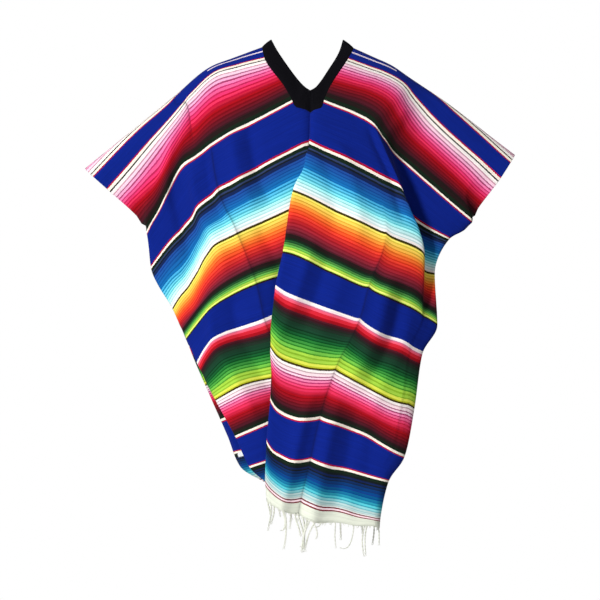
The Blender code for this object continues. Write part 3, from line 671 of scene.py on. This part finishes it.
def add_node(tree, kind, *values, **settings):
    """A node with its settings, each input in turn fed by a socket or set to a value."""
    made = tree.nodes.new(kind)
    for name, value in settings.items():
        setattr(made, name, value)
    for socket, value in zip(made.inputs, values):
        if isinstance(value, bpy.types.NodeSocket):
            tree.links.new(value, socket)
        elif value is not None:
            socket.default_value = value
    return made


def maths(tree, operation, *values):
    """The result of one sum."""
    return add_node(tree, "ShaderNodeMath", *values, operation=operation).outputs[0]


def mixed(tree, factor, first, second, blend="MIX"):
    """Two colours mixed, or blended, by a factor. The node's five inputs between are for other kinds."""
    between = [None] * 5
    return add_node(tree, "ShaderNodeMix", factor, *between, first, second,
                    data_type="RGBA", blend_type=blend).outputs[2]


def ranged(tree, value, low, high, to_low=0.0, to_high=1.0):
    """A value's range mapped onto another one, held at its ends."""
    return add_node(tree, "ShaderNodeMapRange", value, low, high, to_low, to_high).outputs[0]


def noise(tree, places, scale, detail):
    """Soft noise at places, of a scale and a detail."""
    return add_node(tree, "ShaderNodeTexNoise", places, None, scale, detail).outputs[0]


def stripe_colours(tree, place):
    """The chart's colour at a place along the cloth, from a chain of stepped colour ramps."""
    starts, colours, end = chart_stripes()
    result = None
    for first in range(0, len(starts), RAMP_STOPS):
        run_starts, run_colours = starts[first:first + RAMP_STOPS], colours[first:first + RAMP_STOPS]
        low = run_starts[0]
        high = starts[first + RAMP_STOPS] if first + RAMP_STOPS < len(starts) else end
        ramp = add_node(tree, "ShaderNodeValToRGB", ranged(tree, place, low, high))
        steps = ramp.color_ramp
        steps.interpolation = "CONSTANT"
        steps.elements.remove(steps.elements[1])
        for number, (start, colour) in enumerate(zip(run_starts, run_colours)):
            position = (start - low) / (high - low)
            step = steps.elements[0] if number == 0 else steps.elements.new(position)
            step.position = position
            step.color = (*colour, 1.0)
        if result is None:
            result = ramp.outputs[0]
        else:
            passed = maths(tree, "GREATER_THAN", place, low)
            result = mixed(tree, passed, result, ramp.outputs[0])
    return result


def new_group(name, inputs, outputs):
    """An empty shader node group with named inputs and outputs, each name with its kind."""
    group = bpy.data.node_groups.new(name, "ShaderNodeTree")
    for way, sockets in (("INPUT", inputs), ("OUTPUT", outputs)):
        for socket, kind in sockets:
            group.interface.new_socket(name=socket, in_out=way, socket_type="NodeSocket" + kind)
    return group, group.nodes.new("NodeGroupInput"), group.nodes.new("NodeGroupOutput")


def make_weave_group():
    """Weave: the height of weft threads that pass over and under the warp, and their own shade.

    A weft row is the whole part of the place along the cloth over its pitch. Within it the thread's
    height is a half circle's, times a wave along the thread that every other row shifts by half.
    """
    group, given, wanted = new_group(
        "weave", [("Places", "Vector"), ("Warp Pitch", "Float"), ("Weft Pitch", "Float")],
        [("Height", "Float"), ("Thread Shade", "Float")])
    parts = add_node(group, "ShaderNodeSeparateXYZ", given.outputs["Places"])
    along = maths(group, "DIVIDE", parts.outputs[0], given.outputs["Warp Pitch"])
    down = maths(group, "DIVIDE", parts.outputs[1], given.outputs["Weft Pitch"])
    row = maths(group, "FLOOR", down)
    shifted = maths(group, "MULTIPLY_ADD", row, 0.5, along)
    wave = maths(group, "COSINE", maths(group, "MULTIPLY", shifted, 2.0 * np.pi))
    across = maths(group, "SINE", maths(group, "MULTIPLY", maths(group, "FRACT", down), np.pi))
    lift = maths(group, "MULTIPLY_ADD", wave, *THREAD_HEIGHTS)
    group.links.new(maths(group, "MULTIPLY", across, lift), wanted.inputs["Height"])
    streak = [maths(group, "MULTIPLY", value, pace)
              for value, pace in ((parts.outputs[0], SLUB_PACE), (row, SLUB_SHIFT))]
    streak = add_node(group, "ShaderNodeCombineXYZ", *streak).outputs[0]
    group.links.new(noise(group, streak, 1.0, 2.0), wanted.inputs["Thread Shade"])
    return group


weave = make_weave_group()


def new_material(name):
    """A material with its tree and its Principled shader."""
    made = bpy.data.materials.new(name)
    made.use_nodes = True
    return made, made.node_tree, made.node_tree.nodes["Principled BSDF"]


def finish_shader(tree, shader, colour, finish, relief, bump_values):
    """Gives a shader its colour, its own values by name, and a bump from a relief."""
    tree.links.new(colour, shader.inputs["Base Color"])
    for name, value in finish.items():
        shader.inputs[name].default_value = value
    bump = add_node(tree, "ShaderNodeBump", *bump_values)
    tree.links.new(relief, bump.inputs["Height"])
    tree.links.new(bump.outputs[0], shader.inputs["Normal"])


def painted_crease_shade(tree, weft, length):
    """Painted shade where the cloth was pressed: an exponential beside each line, faded out at its two
    ends.
    """
    total = 0.0
    for start, end, top, foot, strength in PAINTED_CREASE_SHADES:
        line = ranged(tree, length, top, foot, start, end)
        far = maths(tree, "ABSOLUTE", maths(tree, "SUBTRACT", weft, line))
        crease_shade = maths(tree, "EXPONENT", maths(tree, "MULTIPLY", far, -1.0 / CREASE_SHADE_WIDTH))
        begun = ranged(tree, length, top, top + CREASE_SHADE_FADE, 0.0, strength)
        ended = ranged(tree, length, foot - CREASE_SHADE_FADE, foot, 1.0, 0.0)
        crease_shade = maths(tree, "MULTIPLY", crease_shade, maths(tree, "MULTIPLY", begun, ended))
        total = maths(tree, "ADD", total, crease_shade)
    return total


def make_striped_cloth():
    """The striped cloth: the chart's yarns, slubs along the weft, worn nap, painted shade along the
    creases and the woven relief.
    """
    made, tree, shader = new_material("striped_cloth_woven")
    places = add_node(tree, "ShaderNodeUVMap", uv_map="cloth").outputs[0]
    parts = add_node(tree, "ShaderNodeSeparateXYZ", places)
    weft, length = parts.outputs[0], parts.outputs[1]
    down = maths(tree, "ABSOLUTE", length)
    woven = add_node(tree, "ShaderNodeGroup", places, *CLOTH_PITCHES, node_tree=weave)
    wander, jag = (maths(tree, "MULTIPLY_ADD", noise(tree, places, *kind), most, -0.5 * most)
                   for kind, most in ((WANDER_NOISE, EDGE_WANDER), (JAG_NOISE, EDGE_JAG)))
    colour = stripe_colours(tree, maths(tree, "ADD", down, maths(tree, "ADD", wander, jag)))
    mark_place, mark_width, mark_reach = MARK_THREAD
    beside = maths(tree, "ABSOLUTE", maths(tree, "SUBTRACT", length, mark_place))
    near_middle = maths(tree, "LESS_THAN", beside, mark_width)
    near_neck = maths(tree, "LESS_THAN", maths(tree, "ABSOLUTE", weft), mark_reach)
    colour = mixed(tree, maths(tree, "MULTIPLY", near_middle, near_neck), colour, MARK_COLOUR)
    shade = ranged(tree, woven.outputs["Thread Shade"], *SLUB_RANGE)
    slubs = add_node(tree, "ShaderNodeCombineColor", shade, shade, shade).outputs[0]
    colour = mixed(tree, 1.0, colour, slubs, "MULTIPLY")
    nap = noise(tree, places, *NAP_NOISE)
    colour = mixed(tree, ranged(tree, nap, *LINT_RANGE), colour, LINT_COLOUR)
    # painted shade: the colour darkened along the pressed creases and the left shoulder's bend
    colour = mixed(tree, painted_crease_shade(tree, weft, down), colour, CREASE_SHADE_COLOUR)
    relief = maths(tree, "MULTIPLY_ADD", nap, NAP_RELIEF, woven.outputs["Height"])
    finish_shader(tree, shader, colour, CLOTH_FINISH, relief, CLOTH_BUMP)
    return made


striped_cloth = make_striped_cloth()
for piece, node in ((front, "cloth_front"), (back, "cloth_back")):
    piece.data.materials.append(striped_cloth)
    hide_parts(node)
    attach(piece, "root")


# The neck band. A strip of black rib knit, doubled and sewn round the cut edge of the neck, with its
# ribs across its width. Its two ends meet at the foot of the V in front.
# Columns: cloth distance of the section beside it, across and height of the left and of the right
# inner edge, and its depth, in cm.
BAND_INNER = (
    (RIDGE, -8.6, 1.4, 8.2, 1.4, 0.0),
    (2.1, -7.5, -0.7, 7.4, -1.2, 2.2),
    (10.6, -3.5, -6.6, 4.2, -6.6, 5.9),
    (14.1, -1.9, -8.6, 2.7, -8.8, 7.0),
    (16.2, -0.7, -9.8, 1.6, -10.0, 7.7),
    (NECK_FOOT, 0.5, -10.6, 0.5, -10.6, 8.1),
)
BAND_WIDTH = 0.027  # what follows is in metres
BAND_EDGE = 0.0010  # half the thickness at the seam, in the middle and at the inner edge
BAND_MIDDLE = 0.0019
BAND_INSIDE = 0.0013
BAND_EDGE_SHARE = 0.35  # of that half thickness, left at the very edges
RIB_PITCH = 0.0032
RIB_STEPS = 6  # columns of the mesh to a rib
RIB_HEIGHT = 0.00045
BAND_PROFILE_STEPS = 9
KNIT_PITCHES = (0.0016, 0.0011)
KNIT_COLOURS = ((0.0030, 0.0028, 0.0042, 1.0), (0.010, 0.0092, 0.0125, 1.0))
KNIT_FINISH = {"Roughness": 0.92, "Specular IOR Level": 0.05}
KNIT_BUMP = (0.5, 0.0005)
FLUFF_NOISE = (700.0, 3.0)
FLUFF_RANGE = (0.35, 0.7, 0.0, 0.5)
FLUFF_RELIEF = 0.3


def band_edges(side, half, half_data):
    """The cloth's cut edge, its outward normals and the band's inner edge beside it, down one side."""
    points, _, _, foot = half_data
    column, beside = (-1, -3) if half == "left" else (0, 2)
    edge = points[:foot + 1, column]
    towards = points[:foot + 1, beside] - edge
    normals = unit(np.cross(towards, np.gradient(edge, axis=0)))
    normals *= np.sign(normals[:, 1:2] * side + 0.2 * normals[:, 2:])
    table = np.array(BAND_INNER)
    rows = np.linspace(RIDGE, NECK_FOOT, foot + 1)
    inner = spline(table[:, 0], table[:, 1:].T, places_at(table[:, 0], rows), True)
    first = 0 if half == "left" else 2
    inside = to_world(np.stack([inner[first], inner[4], inner[first + 1]], axis=-1), side)
    return edge, normals, inside


def closed(values):
    """Rows of values with the first one again at the end."""
    return np.concatenate([values, values[:1]])


def even_loop(values, loop, places):
    """Closed lines of points, read at places along the first one's length."""
    return np.stack([np.interp(places, loop, closed(values)[:, k]) for k in range(3)], axis=-1)


def make_neck_band():
    """The ribbed band: a closed profile carried round the neck's edge.

    Across the band the half thickness goes from the seam's to the middle's to the inner edge's as a
    parabola, and round both edges as a half circle. Along the loop each rib adds a cosine to it.
    """
    runs = [band_edges(-1, "left", front_left), band_edges(1, "left", back_left),
            band_edges(1, "right", back_right), band_edges(-1, "right", front_right)]
    cuts = (slice(None, None, -1), slice(1, None), slice(-2, None, -1), slice(1, -1))
    edge, normals, inside = (np.concatenate([run[k][cut] for run, cut in zip(runs, cuts)])
                             for k in range(3))
    loop = run_along(closed(edge), 0)
    ribs = int(round(loop[-1] / RIB_PITCH))
    places = np.linspace(0.0, loop[-1], ribs * RIB_STEPS, endpoint=False)
    edge, normals, inside = (even_loop(values, loop, places) for values in (edge, normals, inside))
    inward = unit(inside - edge)
    along = unit(np.roll(edge, -1, axis=0) - np.roll(edge, 1, axis=0))
    outward = unit(np.cross(along, inward))
    outward *= np.sign(np.sum(outward * normals, axis=1, keepdims=True))
    rib = np.cos(2.0 * np.pi * np.arange(len(places)) / RIB_STEPS)[:, None]
    across = 0.5 - 0.5 * np.cos(np.pi * np.linspace(0.0, 1.0, BAND_PROFILE_STEPS))
    hump = 4.0 * across * (1.0 - across)
    half_thick = BAND_EDGE + (BAND_INSIDE - BAND_EDGE) * across + (BAND_MIDDLE - BAND_EDGE) * hump
    ends = np.where((across == 0.0) | (across == 1.0), BAND_EDGE_SHARE, 1.0)
    thick = half_thick * ends + RIB_HEIGHT * hump ** 0.5 * rib
    middle = edge[:, None] + (inside - edge)[:, None] * across[None, :, None]
    outer = middle + outward[:, None] * thick[..., None]
    inner = middle - outward[:, None] * thick[..., None]
    profile = np.concatenate([outer, inner[:, ::-1]], axis=1)
    numbers = closed(closed(grid_numbers(profile)).T).T
    faces = grid_faces(numbers, False)
    widths = np.concatenate([across, across[::-1] + 1.0])
    place = np.stack(np.meshgrid(places, widths * BAND_WIDTH, indexing="ij"), axis=-1).reshape(-1, 2)
    return mesh_object("neck_band_knit", profile.reshape(-1, 3), faces, place[faces])


def make_black_knit():
    """The rib knit: near-black yarn, small loops along each rib, and dust in its furrows."""
    made, tree, shader = new_material("black_knit_ribbed")
    places = add_node(tree, "ShaderNodeUVMap", uv_map="cloth").outputs[0]
    loops = add_node(tree, "ShaderNodeGroup", places, *KNIT_PITCHES, node_tree=weave)
    fluff = noise(tree, places, *FLUFF_NOISE)
    colour = mixed(tree, ranged(tree, fluff, *FLUFF_RANGE), *KNIT_COLOURS)
    relief = maths(tree, "MULTIPLY_ADD", fluff, FLUFF_RELIEF, loops.outputs["Height"])
    finish_shader(tree, shader, colour, KNIT_FINISH, relief, KNIT_BUMP)
    return made


neck_band = make_neck_band()
neck_band.data.materials.append(make_black_knit())
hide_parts("neck_band")
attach(neck_band, "root")


# The fringe. The white warp ends are left long past the last weft of both hems. Most of them have
# been worn short, and the rest hang in loose twisted strands of two threads.
# Columns: place of the root along the weft, shift to the right and drop of the strand's middle, the
# same of its end, all in cm, and thickness of a thread in mm.
FRONT_STRANDS = (
    (16.4, 0.3, 1.7, 0.7, 3.5, 2.2), (17.1, 0.2, 1.9, -0.5, 6.6, 2.2),
    (18.1, -0.2, 2.3, -0.7, 4.5, 2.2), (20.1, 0.7, 3.8, -0.5, 4.9, 2.2), (20.4, 0.7, 3.8, 0, 9.2, 2.4),
    (23.7, 1.4, 5.2, 0.9, 8, 2.5), (26.1, -0.9, 4.7, -1.3, 8, 2.5), (26.8, -1.4, 3.8, -1.2, 7.5, 2.4),
    (27, 1.4, 2.6, 0.9, 4.5, 2), (23, 0.8, 3, 1.6, 5.6, 2.3), (25, 0.4, 3.9, 0.2, 8.4, 2.4),
    (28, -1.6, 3.2, -2.4, 6.2, 2.3), (29.4, -0.5, 0.9, -1.4, 1.2, 1.8), (32.7, 0, 3.1, 0.1, 6.3, 1.6),
    (37.2, -1.2, 4.9, -3.3, 5.4, 1.6), (39.7, -0.5, 3.8, -0.2, 7.5, 1.8),
    (40.2, -0.4, 3.9, -0.3, 7.3, 1.8), (45, 0.3, 2.2, 0.2, 4.6, 1.8), (-42, 0.4, 2.6, 0.1, 5, 1.9),
    (-35, -0.4, 3.4, -0.8, 6.8, 2.1), (-26, 0.5, 2.4, 0.6, 4.4, 1.8), (-15, -0.3, 3.9, 0.3, 7.6, 2.2),
    (-7, 0.4, 2.8, 0.9, 5.4, 2),
)
BACK_STRANDS = (
    (-41, 0.5, 2.6, 0.4, 5.2, 2), (-36.5, -0.6, 3.6, -0.4, 7.4, 2.2), (-32, 0.5, 2.2, 0.9, 4.4, 2),
    (-27.5, 0.2, 4.4, -0.3, 8.6, 2.3), (-23, -0.3, 3.2, -1.2, 6, 2.2), (-16, 0.4, 1.9, 0.2, 3.8, 1.8),
    (-9.5, 0.6, 3.7, 0.8, 7, 2.2), (-5, -0.6, 4, -0.7, 8.2, 2.3), (6.5, 0.3, 2.6, 1.1, 4.8, 2),
    (11, -0.5, 3.9, -0.4, 7.4, 2.2), (15, 0.4, 2.1, 0.1, 4.2, 1.8), (19.5, 0.2, 4.2, 0.9, 8, 2.3),
    (24, -0.2, 3.3, -1, 6.6, 2.2), (29.5, 0.6, 2.8, 0.5, 5.4, 2), (34, -0.5, 4.4, -0.5, 8.4, 2.3),
    (38, 0.7, 3, 0.9, 5.8, 2), (42, -0.3, 3.8, -0.6, 7.2, 2),
)
STUBS = 240  # warp ends worn short, to a hem
STUB_LENGTHS = (0.0025, 0.0085)
STUB_THICKNESS = 0.0016
STUB_SCATTER = 0.002  # of the stubs' places along the hem
STUB_BENDS = (0.7, 0.4)  # to the side and in depth, as shares of a stub's length
THREAD_SIDES = 6
THREAD_TAPER = 0.55  # share of its thickness that a thread loses towards its end
STRAND_STEPS = 44
STUB_STEPS = 5
STRAND_HOLD = 0.003  # how far a strand's root reaches into the cloth, and a stub's
STUB_HOLD = 0.002
TWIST_LENGTH = 0.016  # of one turn of the two threads round each other
SWAY = 0.0035  # of a loose strand from its line, along this direction
SWAY_WAY = (0.5, 1.0, 0.0)
SWAY_TURN = 6.0  # angle that the sway's sine runs through
THREAD_SWELL = 1.15  # of a thread of such a pair over its thickness when taut
THREADS_APART = (0.9, 1.2)  # in half thicknesses at the root, and what the end adds to it
YARN_COLOURS = ((0.76, 0.77, 0.68, 1.0), (0.60, 0.62, 0.53, 1.0))
YARN_FINISH = {"Roughness": 0.9, "Sheen Weight": 0.1}
YARN_BUMP = (0.5, 0.0004)
FIBRE_NOISE = (1400.0, 3.0)
STAIN_NOISE = (40.0, 2.0)
STAIN_RANGE = (0.35, 0.7)


def hem_point(left, right, place):
    """The hem's point at a place along the weft, and the way the cloth ends there."""
    points, weft = (left if place < 0.0 else right)[:2]
    hem, above = (np.array([np.interp(place, weft[-1], points[row][:, k]) for k in range(3)])
                  for row in (-1, -3))
    return hem, unit(hem - above)


def thread_tube(path, thickness):
    """A round thread carried along a path, thinner towards its end, as points and faces.

    The ring at each point lies across the path: a cosine and a sine of the turn round it, times the
    radius, along two directions square to the path.
    """
    along = unit(np.gradient(path, axis=0))
    first = unit(np.cross(along, np.array((0.3, 1.0, 0.1))))
    second = np.cross(along, first)
    turn = 2.0 * np.pi * np.arange(THREAD_SIDES) / THREAD_SIDES
    radius = 0.5 * thickness * (1.0 - THREAD_TAPER * np.linspace(0.0, 1.0, len(path)) ** 4)
    ring = np.cos(turn)[None, :, None] * first[:, None] + np.sin(turn)[None, :, None] * second[:, None]
    points = path[:, None] + ring * radius[:, None, None]
    return points.reshape(-1, 3), grid_faces(closed(grid_numbers(points).T).T, False)


def strand_threads(root, out, strand):
    """The two threads of one strand, twisted round a line and a little apart at their ends.

    The line is the parabola through the strand's root, middle and end, with a sine of sway.
    """
    place, middle_shift, middle_drop, shift, drop, thickness = strand
    share = np.linspace(0.0, 1.0, STRAND_STEPS)[:, None]
    middle = np.array((middle_shift, 0.0, -middle_drop)) * CM
    end = np.array((shift, 0.0, -drop)) * CM
    line = root - out * STRAND_HOLD + (4.0 * middle - end) * share + (2.0 * end - 4.0 * middle) * share**2
    sway = np.sin(SWAY_TURN * share + place) * share * (1.3 - share) * SWAY
    line = line + np.array(SWAY_WAY) * sway
    turns = 2.0 * np.pi * run_along(line, 0)[:, None] / TWIST_LENGTH + place
    apart = 0.5 * thickness * MM * (THREADS_APART[0] + THREADS_APART[1] * share**6)
    tubes = []
    for phase in (0.0, np.pi):
        offset = np.concatenate([np.cos(turns + phase), np.sin(turns + phase), 0.0 * share], axis=1)
        tubes.append(thread_tube(line + offset * apart, THREAD_SWELL * thickness * MM))
    return tubes


def make_fringe(name, left, right, strands, seed):
    """All the ends of one hem: the strands and the stubs.

    A stub leaves the hem straight and bends to one side with the square of the distance.
    """
    tubes = []
    for strand in strands:
        tubes += strand_threads(*hem_point(left, right, strand[0] * CM), strand)
    chance = np.random.default_rng(seed)
    share = np.linspace(0.0, 1.0, STUB_STEPS)[:, None]
    places = np.linspace(left[1][-1][0], right[1][-1][-1], STUBS)
    for place in places + chance.uniform(-STUB_SCATTER, STUB_SCATTER, STUBS):
        root, out = hem_point(left, right, place)
        length = chance.uniform(*STUB_LENGTHS)
        bend = np.array([chance.uniform(-most, most) for most in STUB_BENDS] + [0.0]) * length
        line = root - out * STUB_HOLD + out * length * share + bend * share**2
        tubes.append(thread_tube(line, STUB_THICKNESS))
    points = np.concatenate([tube[0] for tube in tubes])
    starts = np.cumsum([0] + [len(tube[0]) for tube in tubes[:-1]])
    faces = np.concatenate([tube[1] + first for tube, first in zip(tubes, starts)])
    return mesh_object(name, points, faces)


def make_white_yarn():
    """Soft off-white yarn: fine fibres, and faint stains here and there."""
    made, tree, shader = new_material("white_yarn_twisted")
    places = add_node(tree, "ShaderNodeTexCoord").outputs["Object"]
    stains = ranged(tree, noise(tree, places, *STAIN_NOISE), *STAIN_RANGE)
    fibres = noise(tree, places, *FIBRE_NOISE)
    finish_shader(tree, shader, mixed(tree, stains, *YARN_COLOURS), YARN_FINISH, fibres, YARN_BUMP)
    return made


white_yarn = make_white_yarn()
for name, node, left, right, strands, seed in (
        ("fringe_front_yarn", "fringe_front", front_left, front_right, FRONT_STRANDS, 3),
        ("fringe_back_yarn", "fringe_back", back_left, back_right, BACK_STRANDS, 4)):
    fringe = make_fringe(name, left, right, strands, seed)
    fringe.data.materials.append(white_yarn)
    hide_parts(node)
    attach(fringe, "root")


# The label. A blank white satin tape, sewn flat to the turned-in strip of the back at its lower
# left. It follows the cloth behind it: a patch of the strip's own face, moved forward by its wall.
LABEL_ACROSS = (-0.1660, -0.1460)
LABEL_PLACES = (0.8795, 0.8935)
LABEL_STEPS = (7, 13)  # points down and across
LABEL_CLEARANCE = 0.0016
LABEL_WALL = 0.0006
TAPE_COLOURS = ((0.86, 0.88, 0.90, 1.0), (0.70, 0.74, 0.78, 1.0))
TAPE_FINISH = {"Roughness": 0.45}
TAPE_BUMP = (0.3, 0.0002)
GRAIN_NOISE = (2600.0, 2.0)


def make_label():
    """The tape's grid: for each of its rows the back's row of cloth there, read at even steps across."""
    points = back_left[0]
    places = np.linspace(0.0, 1.0, len(points))
    wanted = np.linspace(*LABEL_PLACES, LABEL_STEPS[0])
    across = np.linspace(*LABEL_ACROSS, LABEL_STEPS[1])
    rows = []
    for row in np.interp(wanted, places * BACK_HEM * CM, np.arange(len(points))):
        low = int(row)
        line = points[low] + (points[low + 1] - points[low]) * (row - low)
        line = line[sum(SPANS["left"][:2])::-1]
        rows.append(np.stack([np.interp(across, line[:, 0], line[:, k]) for k in range(3)], axis=-1))
    grid = np.array(rows)
    grid += surface_normals(grid) * -LABEL_CLEARANCE
    piece = mesh_object("label_tape", grid.reshape(-1, 3), grid_faces(grid_numbers(grid), True))
    give_wall(piece, LABEL_WALL)
    return piece


def make_white_tape():
    """The satin tape: white thread with a fine grain and a soft gloss."""
    made, tree, shader = new_material("white_tape_satin")
    grain = noise(tree, add_node(tree, "ShaderNodeTexCoord").outputs["Object"], *GRAIN_NOISE)
    finish_shader(tree, shader, mixed(tree, grain, *TAPE_COLOURS), TAPE_FINISH, grain, TAPE_BUMP)
    return made


label = make_label()
label.data.materials.append(make_white_tape())
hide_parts("label")
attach(label, "root")


# The studio. A pale floor under the garment, a white surround, and soft boxes before and behind it.
FLOOR_HEIGHT = -1.46
FLOOR_RADIUS = 1.15
FLOOR_SIDES = 96
FLOOR_COLOUR = (0.9, 0.9, 0.9, 1.0)
PIXEL = 0.00235  # metres to a pixel on the plane of the chest
IMAGE_SIZE = 600
CHEST_PLANE = -0.10
CAMERA_DISTANCE = 40.0
SENSOR_WIDTH = 36.0  # in mm
VIEW_CENTRE = (-0.019, -0.599)
LIGHTS = (  # name, place, size across and power
    ("key_box", (-3.2, -4.25, 0.9), 1.2, 335.0),
    ("fill_box", (2.2, -5.0, 0.0), 2.5, 32.0),
    ("top_box", (0.2, 0.5, 3.2), 2.5, 20.0),
    ("back_box", (1.6, 4.8, 0.6), 2.5, 190.0),
)
AMBIENT = 0.13  # the surround's light on the cloth, where it itself is seen as white

turn = np.linspace(0.0, 2.0 * np.pi, FLOOR_SIDES, endpoint=False)
floor_mesh = bpy.data.meshes.new("floor")
floor_points = np.stack([FLOOR_RADIUS * np.cos(turn), FLOOR_RADIUS * np.sin(turn),
                         np.full_like(turn, FLOOR_HEIGHT)], axis=-1)
floor_mesh.from_pydata(floor_points.tolist(), [], [list(range(len(turn)))])
floor_paper, _, floor_shader = new_material("floor_paper")
floor_shader.inputs["Base Color"].default_value = FLOOR_COLOUR
floor_shader.inputs["Roughness"].default_value = 0.8
floor_mesh.materials.append(floor_paper)
place_in_scene("floor", floor_mesh)

for name, place, size, power in LIGHTS:
    lamp = bpy.data.lights.new(name, "AREA")
    lamp.shape = "DISK"
    lamp.size = size
    lamp.energy = power
    box = place_in_scene(name, lamp)
    box.location = place
    aim = np.array((VIEW_CENTRE[0], 0.0, VIEW_CENTRE[1])) - np.array(place)
    box.rotation_euler = (
        np.arctan2(np.hypot(aim[0], aim[1]), -aim[2]), 0.0, np.arctan2(-aim[0], aim[1]))
    box.visible_camera = False

world = bpy.data.worlds.new("studio")
bpy.context.scene.world = world
world.use_nodes = True
surround = world.node_tree.nodes["Background"]
surround.inputs["Color"].default_value = (1.0, 1.0, 1.0, 1.0)
seen = add_node(world.node_tree, "ShaderNodeLightPath").outputs["Is Camera Ray"]
strength = ranged(world.node_tree, seen, 0.0, 1.0, AMBIENT, 1.0)
world.node_tree.links.new(strength, surround.inputs["Strength"])
bpy.context.scene.view_settings.view_transform = "Standard"

lens = bpy.data.cameras.new("camera")
lens.sensor_width = SENSOR_WIDTH
lens.lens = SENSOR_WIDTH * (CAMERA_DISTANCE + CHEST_PLANE) / (IMAGE_SIZE * PIXEL)
camera = place_in_scene("camera", lens)
camera.location = (VIEW_CENTRE[0], -CAMERA_DISTANCE, VIEW_CENTRE[1])
camera.rotation_euler = (0.5 * np.pi, 0.0, 0.0)
bpy.context.scene.camera = camera
